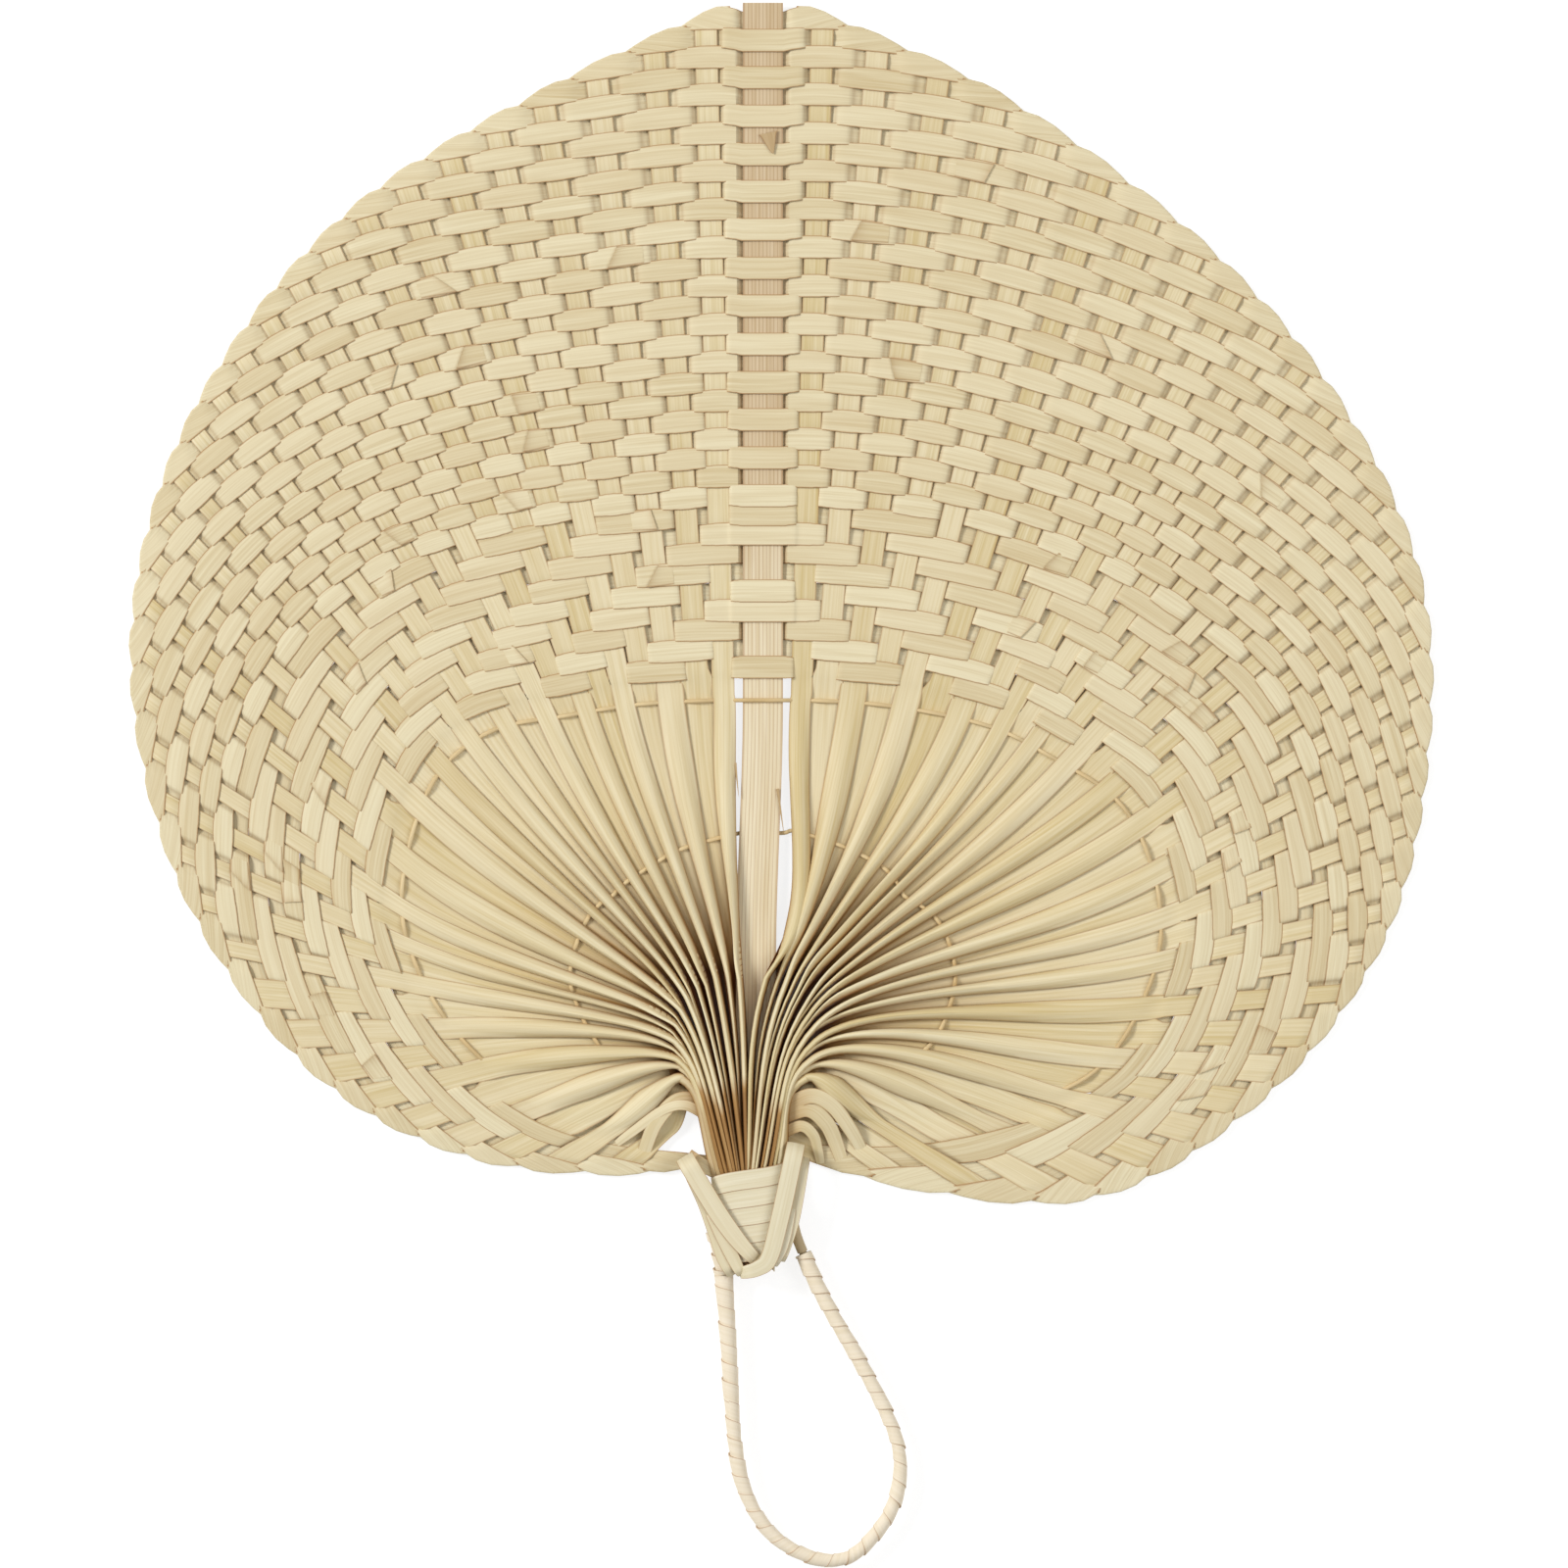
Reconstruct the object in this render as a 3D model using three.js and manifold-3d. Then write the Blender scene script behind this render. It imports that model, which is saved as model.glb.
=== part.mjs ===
// Palm leaf fan, lying on its back. Millimetres, +Z up towards the viewer.
// X runs across the blade and Y up the midrib. The origin is on the flat back of the neck binding.
//
// One leaf makes the blade. Its segments spread from the neck as pleats, lie flat as warps and are
// folded over at the rim, where each comes back as a weft row. A place in the weave is given by a
// warp number, counted outwards from the midrib, and a row number, counted from the inner edge.

import * as THREE from 'three';
import { mergeVertices } from 'three/addons/utils/BufferGeometryUtils.js';
import Module from 'manifold-3d';

const wasm = await Module();
wasm.setup();

// Leaf strips
const stripWidth = 5.2;
const lastStripWidth = 1.2;
const stripThickness = 0.35;
const clearance = 0.3;
const rowGap = 0.5;
const warpShare = 0.42;
const rowCount = 35;
const warpCount = 34;
const narrowFromWarp = 20;
const twillRows = 9;

// Midrib
const ribWidth = 9.6;
const ribThickness = 0.8;
const ribTopY = 280.4;
const ribTaperY = 36;
const ribNeckWidth = 2.6;

// Neck and its winding
const neckDepth = 8;
const neckTopWidth = 16;
const neckBottomWidth = 10.5;
const neckChamfer = 0.6;
const neckTurns = 4.5;
const neckPitch = 4.2;
const neckStripWidth = 3.6;
const neckStripThickness = 0.4;
const neckTurnAtOrigin = 2;

// Leaf base above the neck, where the segments stay joined
const baseCentreY = 12;
const baseRadius = 22;
const baseSpread = 74;
const segmentSpread = 60;
const pleatBend = 0.3;

// Straps over the neck
const strapWidth = 4.7;
const strapThickness = 0.45;

// Sewing twines
const twineDiameter = 0.9;
const outerTwinePlace = 0.97;
const innerTwinePlace = 0.5;
const twineLastWarp = 28;
const twineSides = 5;

// Carrying loop
const coreDiameter = 1.6;
const loopStripThickness = 0.35;
const loopTurns = 24;
const loopTurnGap = 0.7;
const loopBendRoom = 0.15;
const loopWrapMargin = 2.5;
const flexAngle = 20;
const leftTailSeat = 0.4;
const rightTailSeat = 0.8;

// Inner edge and rim of the weave, one point at every fourth warp from the midrib to the neck
const weave = {
  left: {
    sign: -1,
    inner: [
      [-4.8, 124], [-28, 122.9], [-47.3, 119.9], [-66.5, 115.4], [-80.6, 102.6],
      [-88.1, 78.7], [-85.4, 58.5], [-72.8, 37.1], [-49.2, 18.9], [-9.8, 14.3],
    ],
    rim: [
      [-4.8, 280.6], [-51.2, 258.8], [-93.1, 233.1], [-122.2, 200.3], [-140.4, 162.7],
      [-145.2, 120.4], [-132.7, 72.6], [-103.1, 32.5], [-62.6, 12.3], [-10.9, 6.8],
    ],
  },
  right: {
    sign: 1,
    inner: [
      [4.8, 124], [27.8, 122.7], [52.8, 117.7], [69.2, 109.9], [87.6, 96.7],
      [96.3, 74.9], [94.7, 53.3], [80.1, 30], [46, 16.4], [9.6, 10.2],
    ],
    rim: [
      [4.8, 280.6], [54.4, 258.3], [101.1, 224.2], [132.9, 187.5], [151.8, 145.7],
      [152.7, 100.8], [141.6, 60.3], [113.1, 25], [69.9, 3.2], [14.1, 0],
    ],
  },
};
const stationStep = 4;

// Course of the loop from its left root to its right root
const loopCourse = [
  [-9.1, -14.8], [-8, -30.3], [-7.3, -43.2], [-6.4, -54.4], [-4.6, -63.5], [-0.7, -71.5],
  [5.2, -77.4], [13.7, -80.8], [20.9, -79.7], [27.3, -73.3], [30.7, -66.9], [31.9, -58.9],
  [30.7, -51.9], [27.3, -43.9], [22.1, -34.1], [16.8, -25], [12.7, -17.3], [9.2, -9.4],
];
const leftStrapCourse = [[-15.2, 14.5], [-8.8, 1.5], [-2.7, -12.5]];
const rightStrapCourse = [[8.6, 15.5], [4.4, 2.5], [0.6, -8.6], [-2.2, -12.6], [-6.4, -15.4]];

const degrees = Math.PI / 180;
const lerp = THREE.MathUtils.lerp;

// Colours of the leaf
const leafColour = 0xd9cba7;
const pleatColour = 0xd6c39a;
const bindingColour = 0xe0d4b4;
const loopColour = 0xeadcc5;
const caneColour = 0x8a6a42;

function material(colour) {
  return new THREE.MeshStandardMaterial({ color: colour, roughness: 0.62, metalness: 0 });
}

// A closed solid through a row of rings that have the same number of points. Opposite faces are
// split along the same diagonal, so that a twisted strip keeps its thickness.
function loft(rings) {
  const sides = rings[0].length;
  const positions = rings.flat().flatMap((point) => point.toArray());
  const index = [];
  for (let r = 0; r + 1 < rings.length; r++) {
    for (let s = 0; s < sides; s++) {
      const a = r * sides + s;
      const b = r * sides + ((s + 1) % sides);
      if (s < sides / 2) {
        index.push(a, b, b + sides, a, b + sides, a + sides);
      } else {
        index.push(a, b, a + sides, b, b + sides, a + sides);
      }
    }
  }
  const last = (rings.length - 1) * sides;
  for (let s = 1; s + 1 < sides; s++) {
    index.push(0, s + 1, s);
    index.push(last, last + s, last + s + 1);
  }
  const geometry = new THREE.BufferGeometry();
  geometry.setAttribute('position', new THREE.Float32BufferAttribute(positions, 3));
  geometry.setIndex(signedVolume(positions, index) < 0 ? index.reverse() : index);
  geometry.computeVertexNormals();
  return geometry;
}

function signedVolume(positions, index) {
  const corner = (n) => new THREE.Vector3().fromArray(positions, 3 * index[n]);
  let volume = 0;
  for (let n = 0; n < index.length; n += 3) {
    volume += corner(n).dot(corner(n + 1).cross(corner(n + 2))) / 6;
  }
  return volume;
}

function toSolid(geometry) {
  const bare = geometry.clone();
  bare.deleteAttribute('normal');
  bare.deleteAttribute('uv');
  const merged = mergeVertices(bare, 1e-4);
  const vertProperties = new Float32Array(merged.attributes.position.array);
  const triVerts = new Uint32Array(merged.index.array);
  return new wasm.Manifold(new wasm.Mesh({ numProp: 3, vertProperties, triVerts }));
}

function toGeometry(solid) {
  const mesh = solid.getMesh();
  const geometry = new THREE.BufferGeometry();
  geometry.setAttribute('position', new THREE.Float32BufferAttribute(mesh.vertProperties, 3));
  geometry.setIndex(Array.from(mesh.triVerts));
  geometry.computeVertexNormals();
  return geometry;
}

// Heights above the table
const weaveContact = stripThickness + clearance;
const ribContact = (ribThickness + stripThickness) / 2 + clearance;
const neckMid = neckDepth / 2;

// The weave as a map from warp and row numbers to a place
const foldSum = rowCount + 0.5;
const endReach = 0.6;

function curveOf(points) {
  return new THREE.SplineCurve(points.map(([x, y]) => new THREE.Vector2(x, y)));
}

for (const side of Object.values(weave)) {
  side.innerCurve = curveOf(side.inner);
  side.rimCurve = curveOf(side.rim);
}

function innerPoint(side, warp) {
  return side.innerCurve.getPoint(warp / stationStep / (side.inner.length - 1));
}

function rimPoint(side, warp) {
  return side.rimCurve.getPoint(warp / stationStep / (side.rim.length - 1));
}

function weavePoint(side, warp, row) {
  return innerPoint(side, warp).lerp(rimPoint(side, warp), row / (foldSum - warp));
}

function warpPitch(side, warp, row) {
  return weavePoint(side, warp - 0.5, row).distanceTo(weavePoint(side, warp + 0.5, row));
}

function rowPitch(side, warp) {
  return innerPoint(side, warp).distanceTo(rimPoint(side, warp)) / (foldSum - warp);
}

// How far a weft swings off the weave's middle plane, so that its slopes clear the warps and the rib
function weaveSwing() {
  let swing = weaveContact / (1 - warpShare);
  for (const side of Object.values(weave)) {
    const halfWarp = (warpShare / 2) * warpPitch(side, 1, 0);
    const run = Math.abs(innerPoint(side, 1).x) - ribWidth / 2 - clearance;
    const share = halfWarp / run;
    swing = Math.max(swing, (weaveContact + ribContact * share) / (1 - share));
  }
  return swing;
}

const swing = weaveSwing();
const weaveMid = Math.max(swing, ribContact) + stripThickness / 2;

// Plain weave in the outer rows and a twill of two over, two under in the inner ones
function weftIsOver(row, warp) {
  if (row >= twillRows) {
    return (row + warp) % 2 === 1;
  }
  const step = (row + warp) % 4;
  return step === 0 || step === 3;
}

function stripRing(outer, inner, outerHeight, innerHeight, thickness) {
  const half = thickness / 2;
  return [
    new THREE.Vector3(outer.x, outer.y, outerHeight - half),
    new THREE.Vector3(outer.x, outer.y, outerHeight + half),
    new THREE.Vector3(inner.x, inner.y, innerHeight + half),
    new THREE.Vector3(inner.x, inner.y, innerHeight - half),
  ];
}

function weftHeight(row, warp) {
  return weaveMid + (weftIsOver(row, warp) ? swing : -swing);
}

function weftHalf(side, row) {
  const rings = [];
  const centre = row + 0.5;
  const lastWarp = Math.min(rowCount - 1 - row, warpCount);
  for (let warp = 1; warp <= lastWarp; warp++) {
    const half = 0.5 - rowGap / 2 / rowPitch(side, warp);
    const height = weftHeight(row, warp);
    const outer = weavePoint(side, warp, centre + half);
    const inner = weavePoint(side, warp, centre - half);
    rings.push(stripRing(outer, inner, height, height, stripThickness));
  }
  // the folded end rises over the next warp and is cut along the rim
  const half = 0.5 - rowGap / 2 / rowPitch(side, Math.min(lastWarp + 1, warpCount));
  const [outer, inner] = [centre + half, centre - half].map((level) => {
    const warp = Math.min(foldSum - level, warpCount + endReach);
    const climb = THREE.MathUtils.clamp(warp - lastWarp, 0, 1);
    const height = lerp(weftHeight(row, lastWarp), weaveMid + swing, climb);
    return { place: weavePoint(side, warp, level), height };
  });
  rings.push(stripRing(outer.place, inner.place, outer.height, inner.height, stripThickness));
  return rings;
}

function weftRow(row) {
  const { left, right } = weave;
  const centre = row + 0.5;
  const half = 0.5 - rowGap / 2 / rowPitch(left, 0);
  const height = weaveMid + (weftIsOver(row, 0) ? ribContact : -ribContact);
  const reach = ribWidth / 2 + clearance;
  const outerY = weavePoint(left, 0, centre + half).y;
  const innerY = weavePoint(left, 0, centre - half).y;
  const ribRing = (x) => stripRing(
    new THREE.Vector2(x, outerY), new THREE.Vector2(x, innerY), height, height, stripThickness,
  );
  const rings = weftHalf(left, row).reverse();
  rings.push(ribRing(-reach), ribRing(reach), ...weftHalf(right, row));
  return loft(rings);
}

// Pleats: each segment leaves the leaf base on edge and turns flat on its way to the weave
const pleatEndRow = -1.2;
const warpStartRow = -0.2;
const foldRoom = 0.6;
const pleatStops = [0, 0.14, 0.36, 0.68, 1];
const baseReach = 2;

function pleatCurve(side, warp) {
  const startRadius = baseRadius - baseReach;
  const nearest = Math.asin((ribWidth / 2 + clearance + stripThickness) / startRadius);
  const lean = lerp(nearest, segmentSpread * degrees, (warp - 1) / (warpCount - 1));
  const away = new THREE.Vector2(side.sign * Math.sin(lean), Math.cos(lean));
  const start = new THREE.Vector2(0, baseCentreY).addScaledVector(away, startRadius);
  const end = weavePoint(side, warp, pleatEndRow);
  const along = rimPoint(side, warp).sub(innerPoint(side, warp)).normalize();
  const reach = pleatBend * start.distanceTo(end);
  const first = start.clone().addScaledVector(away, reach);
  const second = end.clone().addScaledVector(along, -reach);
  return new THREE.CubicBezierCurve(start, first, second, end);
}

// The lowest segments of the leaf get narrower
function segmentWidth(warp) {
  const share = THREE.MathUtils.clamp((warp - narrowFromWarp) / (warpCount - narrowFromWarp), 0, 1);
  return lerp(stripWidth, lastStripWidth, share);
}

function pleatSection(side, warp, stop) {
  const curve = pleatCurve(side, warp);
  const centre = curve.getPoint(stop);
  const along = curve.getTangent(stop);
  const across = new THREE.Vector2(along.y, -along.x);
  const before = pleatCurve(side, warp - 0.5).getPoint(stop);
  const after = pleatCurve(side, warp + 0.5).getPoint(stop);
  const pitch = Math.abs(after.sub(before).dot(across));
  const width = segmentWidth(warp);
  const flat = Math.min(Math.max(pitch - stripThickness - clearance, clearance / 10), width);
  const rise = Math.sqrt(width ** 2 - flat ** 2) * (1 - stop ** 2);
  const lowest = (rise + stripThickness) / 2 + clearance;
  const height = Math.max(lerp(neckMid, weaveMid, stop), lowest);
  return { centre, across, flat, rise, height };
}

function pleatRing(side, warp, stop) {
  const { centre, across, flat, rise, height } = pleatSection(side, warp, stop);
  const tilt = warp % 2 === 0 ? 1 : -1;
  const width = new THREE.Vector3(across.x * flat, across.y * flat, tilt * rise);
  const normal = new THREE.Vector3(-across.x * tilt * rise, -across.y * tilt * rise, flat);
  normal.setLength(stripThickness / 2);
  const middle = new THREE.Vector3(centre.x, centre.y, height);
  return [[-0.5, -1], [-0.5, 1], [0.5, 1], [0.5, -1]].map(([share, face]) => (
    middle.clone().addScaledVector(width, share).addScaledVector(normal, face)
  ));
}

function segment(side, warp) {
  const rings = pleatStops.map((stop) => pleatRing(side, warp, stop));
  const half = (warpShare / 2) * -side.sign;
  for (const row of [warpStartRow, foldSum - warp - foldRoom]) {
    const leftEdge = weavePoint(side, warp + half, row);
    const rightEdge = weavePoint(side, warp - half, row);
    rings.push(stripRing(leftEdge, rightEdge, weaveMid, weaveMid, stripThickness));
  }
  return loft(rings);
}

// Half of the neck block's outline and thickness, inside the winding
const windingReach = neckStripThickness + clearance + neckChamfer / 4;
const neckCorners = 8;
const neckBackCorner = 4.5;
const neckTopY = neckPitch * (neckTurnAtOrigin + neckBackCorner / neckCorners);
const neckBottomY = neckTopY - neckTurns * neckPitch;

function neckHalfWidth(y) {
  const share = (neckTopY - y) / (neckTopY - neckBottomY);
  return lerp(neckTopWidth, neckBottomWidth, share) / 2;
}

function ribHalfWidth(y) {
  const share = THREE.MathUtils.clamp((y - neckTopY) / (ribTaperY - neckTopY), 0, 1);
  return lerp(ribNeckWidth, ribWidth, share) / 2;
}

const neckBlockTopY = neckTopY + neckStripWidth / 2 + clearance;
const neckBlockBottomY = neckBottomY - neckStripWidth / 2;

function baseCorner(side) {
  const lean = baseSpread * degrees;
  const x = side.sign * baseRadius * Math.sin(lean);
  return new THREE.Vector2(x, baseCentreY + baseRadius * Math.cos(lean));
}

function leafBase(side) {
  const { sign } = side;
  const corner = baseCorner(side);
  const outline = new THREE.Shape();
  outline.moveTo(sign * (ribHalfWidth(neckBlockBottomY) + clearance), neckBlockBottomY);
  outline.lineTo(sign * (neckHalfWidth(neckBlockBottomY) - windingReach), neckBlockBottomY);
  outline.lineTo(sign * (neckHalfWidth(neckTopY) - windingReach), neckTopY);
  outline.lineTo(sign * (neckHalfWidth(neckTopY) - windingReach), neckBlockTopY);
  outline.lineTo(corner.x, corner.y);
  const nearest = Math.asin((ribWidth / 2 + clearance) / baseRadius);
  const arcSteps = 6;
  for (let step = 1; step <= arcSteps; step++) {
    const lean = lerp(baseSpread * degrees, nearest, step / arcSteps);
    outline.lineTo(sign * baseRadius * Math.sin(lean), baseCentreY + baseRadius * Math.cos(lean));
  }
  outline.lineTo(sign * (ribHalfWidth(neckTopY) + clearance), neckTopY);
  const block = new THREE.ExtrudeGeometry(outline, {
    depth: neckDepth - 2 * windingReach, bevelEnabled: false, curveSegments: 1,
  });
  block.translate(0, 0, windingReach);
  return block;
}

function leafHalf(side) {
  let leaf = toSolid(leafBase(side));
  for (let warp = 1; warp <= warpCount; warp++) {
    leaf = leaf.add(toSolid(segment(side, warp)));
  }
  return toGeometry(leaf);
}

// Midrib: flat in the weave, rising and narrowing into the neck
function ribHeight(y) {
  const share = THREE.MathUtils.clamp((y - neckTopY) / (weave.left.inner[0][1] - neckTopY), 0, 1);
  return lerp(neckMid, weaveMid, share);
}

function midrib() {
  const stations = [ribTopY, weave.left.inner[0][1], ribTaperY, neckTopY, neckBlockBottomY];
  return loft(stations.map((y) => {
    const half = ribHalfWidth(y);
    const height = ribHeight(y);
    return stripRing(new THREE.Vector2(-half, y), new THREE.Vector2(half, y), height, height, ribThickness);
  }));
}

// A round cane along a smooth course
function roundTube(points, diameter, sides, steps) {
  const section = new THREE.Shape(Array.from({ length: sides }, (_, s) => (
    new THREE.Vector2(diameter / 2, 0).rotateAround(new THREE.Vector2(), (2 * Math.PI * s) / sides)
  )));
  const course = new THREE.CatmullRomCurve3(points, false, 'catmullrom', 0.5);
  return new THREE.ExtrudeGeometry(section, { steps, extrudePath: course, curveSegments: 1 });
}

// A round thread that turns a corner at each of its points
function thread(points, diameter, sides) {
  const up = new THREE.Vector3(0, 0, 1);
  return loft(points.map((point, n) => {
    const before = points[Math.max(n - 1, 0)];
    const after = points[Math.min(n + 1, points.length - 1)];
    const along = after.clone().sub(before).normalize();
    const across = along.clone().cross(up).normalize();
    const top = across.clone().cross(along);
    return Array.from({ length: sides }, (_, s) => {
      const angle = (2 * Math.PI * s) / sides;
      return point.clone()
        .addScaledVector(across, (diameter / 2) * Math.cos(angle))
        .addScaledVector(top, (diameter / 2) * Math.sin(angle));
    });
  }));
}

// Twines lie on the pleats, on the highest edge nearby
const twineSeat = clearance + twineDiameter / 2;

function pleatTop(side, warp, stop) {
  const { height, rise } = pleatSection(side, warp, stop);
  return height + (rise + stripThickness) / 2;
}

function twineHalf(side, stop, crossesBehind) {
  const points = [];
  const first = pleatSection(side, 1, stop);
  const ribSide = ribWidth / 2 + twineSeat;
  const ribOffset = ribThickness / 2 + twineSeat;
  const ribZ = ribHeight(first.centre.y);
  if (crossesBehind) {
    const edge = Math.abs(first.centre.x) - first.flat / 2 - twineSeat;
    points.push(new THREE.Vector3(side.sign * ribSide, first.centre.y, ribZ - ribOffset));
    points.push(new THREE.Vector3(side.sign * edge, first.centre.y, pleatTop(side, 1, stop) + twineSeat));
  } else {
    points.push(new THREE.Vector3(side.sign * ribSide, first.centre.y, ribZ + ribOffset));
  }
  for (let warp = 2; warp <= twineLastWarp; warp += 2) {
    const nearby = [warp - 1, warp, warp + 1];
    const top = Math.max(...nearby.map((near) => pleatTop(side, near, stop)));
    const { centre } = pleatSection(side, warp, stop);
    points.push(new THREE.Vector3(centre.x, centre.y, top + twineSeat));
  }
  return points;
}

function twine(stop, crossesBehind) {
  const left = twineHalf(weave.left, stop, crossesBehind).reverse();
  const right = twineHalf(weave.right, stop, crossesBehind);
  return thread([...left, ...right], twineDiameter, twineSides);
}

// Neck winding: an eight-sided section with a flat front and a flat back
function neckSection(y, corner, lift) {
  const a = neckHalfWidth(y) + lift;
  const c = neckChamfer;
  const low = -lift;
  const high = neckDepth + lift;
  const corners = [
    [a - c, high], [-(a - c), high], [-a, high - c], [-a, low + c],
    [-(a - c), low], [a - c, low], [a, low + c], [a, high - c],
  ];
  return corners[corner % neckCorners];
}

function neckWrap() {
  const rings = [];
  for (let n = 0; n <= neckTurns * neckCorners; n++) {
    const y = neckTopY - (neckPitch * n) / neckCorners;
    const [x, z] = neckSection(y, n, 0);
    const [innerX, innerZ] = neckSection(y, n, -neckStripThickness);
    const top = y + neckStripWidth / 2;
    const bottom = y - neckStripWidth / 2;
    rings.push([
      new THREE.Vector3(x, top, z), new THREE.Vector3(innerX, top, innerZ),
      new THREE.Vector3(innerX, bottom, innerZ), new THREE.Vector3(x, bottom, z),
    ]);
  }
  printLeastGap('neck_wrap', rings, neckCorners);
  return loft(rings);
}

// Straps lie in front of the winding, one over the other
function strap(course, layer) {
  const curve = curveOf(course);
  const height = neckDepth + clearance + strapThickness / 2 + layer * (strapThickness + clearance);
  const steps = 8;
  const rings = [];
  for (let step = 0; step <= steps; step++) {
    const along = curve.getTangent(step / steps);
    const across = new THREE.Vector2(along.y, -along.x).multiplyScalar(strapWidth / 2);
    const middle = curve.getPoint(step / steps);
    const leftEdge = middle.clone().sub(across);
    const rightEdge = middle.clone().add(across);
    rings.push(stripRing(leftEdge, rightEdge, height, height, strapThickness));
  }
  return loft(rings);
}

// Carrying loop
const coreRadius = coreDiameter / 2;
const coreSides = 8;
const loopSteps = 36;
const tailSteps = 8;
const flexGap = clearance + coreRadius * Math.sin(flexAngle * degrees);
const loopPoints = loopCourse.map(([x, y]) => new THREE.Vector3(x, y, neckMid));
const loopCurve = new THREE.CatmullRomCurve3(loopPoints, false, 'catmullrom', 0.5);

function loopTail(side, seatShare, [root, next]) {
  const corner = baseCorner(side);
  const neckCorner = new THREE.Vector2(
    side.sign * (neckHalfWidth(neckTopY) - windingReach), neckBlockTopY,
  );
  const edge = neckCorner.clone().sub(corner);
  const away = new THREE.Vector2(side.sign * -edge.y, side.sign * edge.x).normalize();
  const seat = corner.clone().lerp(neckCorner, seatShare).addScaledVector(away, clearance);
  const clear = seat.clone().addScaledVector(away, coreDiameter);
  const towards = root.clone().sub(next).setLength(flexGap);
  const end = root.clone().add(towards);
  const before = end.clone().add(towards.setLength(coreDiameter));
  const flat = (point) => new THREE.Vector3(point.x, point.y, neckMid);
  return roundTube([flat(seat), flat(clear), before, end], coreDiameter, coreSides, tailSteps);
}

function loopPlace(length, angle, radius) {
  const u = length / loopCurve.getLength();
  const centre = loopCurve.getPointAt(u);
  const along = loopCurve.getTangentAt(u);
  const across = new THREE.Vector3(along.y, -along.x, 0);
  centre.addScaledVector(across, radius * Math.cos(angle));
  centre.z += radius * Math.sin(angle);
  return centre;
}

function loopWrap() {
  const stepsPerTurn = 8;
  const inner = (coreRadius + clearance + loopBendRoom) / Math.cos(Math.PI / stepsPerTurn);
  const outer = inner + loopStripThickness;
  const run = loopCurve.getLength() - 2 * loopWrapMargin;
  const pitch = run / (loopTurns + 1);
  const half = (pitch - loopTurnGap) / 2;
  const rings = [];
  for (let n = 0; n <= loopTurns * stepsPerTurn; n++) {
    const turn = n / stepsPerTurn;
    const place = loopWrapMargin + pitch * (turn + 0.5);
    const angle = 2 * Math.PI * turn;
    rings.push([
      loopPlace(place - half, angle, inner), loopPlace(place - half, angle, outer),
      loopPlace(place + half, angle, outer), loopPlace(place + half, angle, inner),
    ]);
  }
  printLeastGap('loop_wrap', rings, stepsPerTurn);
  return loft(rings);
}

// Least gap of a winding to itself, between the edges of neighbouring turns
function printLeastGap(name, rings, stepsPerTurn) {
  let least = Infinity;
  for (let n = 0; n + stepsPerTurn < rings.length; n++) {
    const next = rings[n + stepsPerTurn];
    least = Math.min(least, rings[n][2].distanceTo(next[1]), rings[n][3].distanceTo(next[0]));
  }
  console.log(`${name}: least gap to itself ${least.toFixed(2)} mm`);
}

const fan = new THREE.Group();

function addPiece(name, geometry, colour) {
  const piece = new THREE.Mesh(geometry, material(colour));
  piece.name = name;
  fan.add(piece);
}

addPiece('midrib', midrib(), leafColour);
addPiece('left_leaf', leafHalf(weave.left), pleatColour);
addPiece('right_leaf', leafHalf(weave.right), pleatColour);
for (let row = 0; row < rowCount; row++) {
  addPiece(`weft_row_${String(row + 1).padStart(2, '0')}`, weftRow(row), leafColour);
}
addPiece('outer_twine', twine(outerTwinePlace, false), bindingColour);
addPiece('inner_twine', twine(innerTwinePlace, true), bindingColour);
addPiece('neck_wrap', neckWrap(), bindingColour);
addPiece('left_strap', strap(leftStrapCourse, 0), bindingColour);
addPiece('right_strap', strap(rightStrapCourse, 1), bindingColour);
addPiece('left_tail', loopTail(weave.left, leftTailSeat, loopPoints), caneColour);
addPiece('right_tail', loopTail(weave.right, rightTailSeat, loopPoints.toReversed()), caneColour);
addPiece('loop_core', roundTube(loopPoints, coreDiameter, coreSides, loopSteps), caneColour);
addPiece('loop_wrap', loopWrap(), loopColour);

export default fan;
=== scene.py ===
"""Palm leaf fan: leaf strips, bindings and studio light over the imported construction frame."""

import math

import bmesh
import bpy
import numpy as np
from bpy.props import FloatProperty, FloatVectorProperty, IntProperty, PointerProperty
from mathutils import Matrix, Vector


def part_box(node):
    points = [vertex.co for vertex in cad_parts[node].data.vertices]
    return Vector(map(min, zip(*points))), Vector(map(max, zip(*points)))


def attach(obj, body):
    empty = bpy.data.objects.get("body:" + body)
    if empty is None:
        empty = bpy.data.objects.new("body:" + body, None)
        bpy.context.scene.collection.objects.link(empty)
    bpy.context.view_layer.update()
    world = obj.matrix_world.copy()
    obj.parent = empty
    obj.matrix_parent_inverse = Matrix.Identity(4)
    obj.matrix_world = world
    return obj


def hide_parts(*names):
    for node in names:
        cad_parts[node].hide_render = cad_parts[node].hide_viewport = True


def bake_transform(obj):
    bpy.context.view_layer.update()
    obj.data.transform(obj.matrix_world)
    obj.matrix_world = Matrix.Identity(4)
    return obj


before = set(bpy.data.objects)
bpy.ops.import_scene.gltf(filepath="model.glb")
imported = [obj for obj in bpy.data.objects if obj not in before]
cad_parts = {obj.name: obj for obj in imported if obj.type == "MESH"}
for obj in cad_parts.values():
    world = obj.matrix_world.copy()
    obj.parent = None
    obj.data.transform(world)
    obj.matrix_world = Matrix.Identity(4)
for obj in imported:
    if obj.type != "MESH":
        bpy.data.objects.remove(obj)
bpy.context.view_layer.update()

bl_info = {
    "name": "Palm Leaf Fan",
    "version": (1, 0, 0),
    "blender": (4, 5, 0),
    "location": "View3D > Sidebar > Palm Fan",
    "description": "Weaves a palm leaf hand fan over its construction frame",
    "category": "Object",
}

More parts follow.
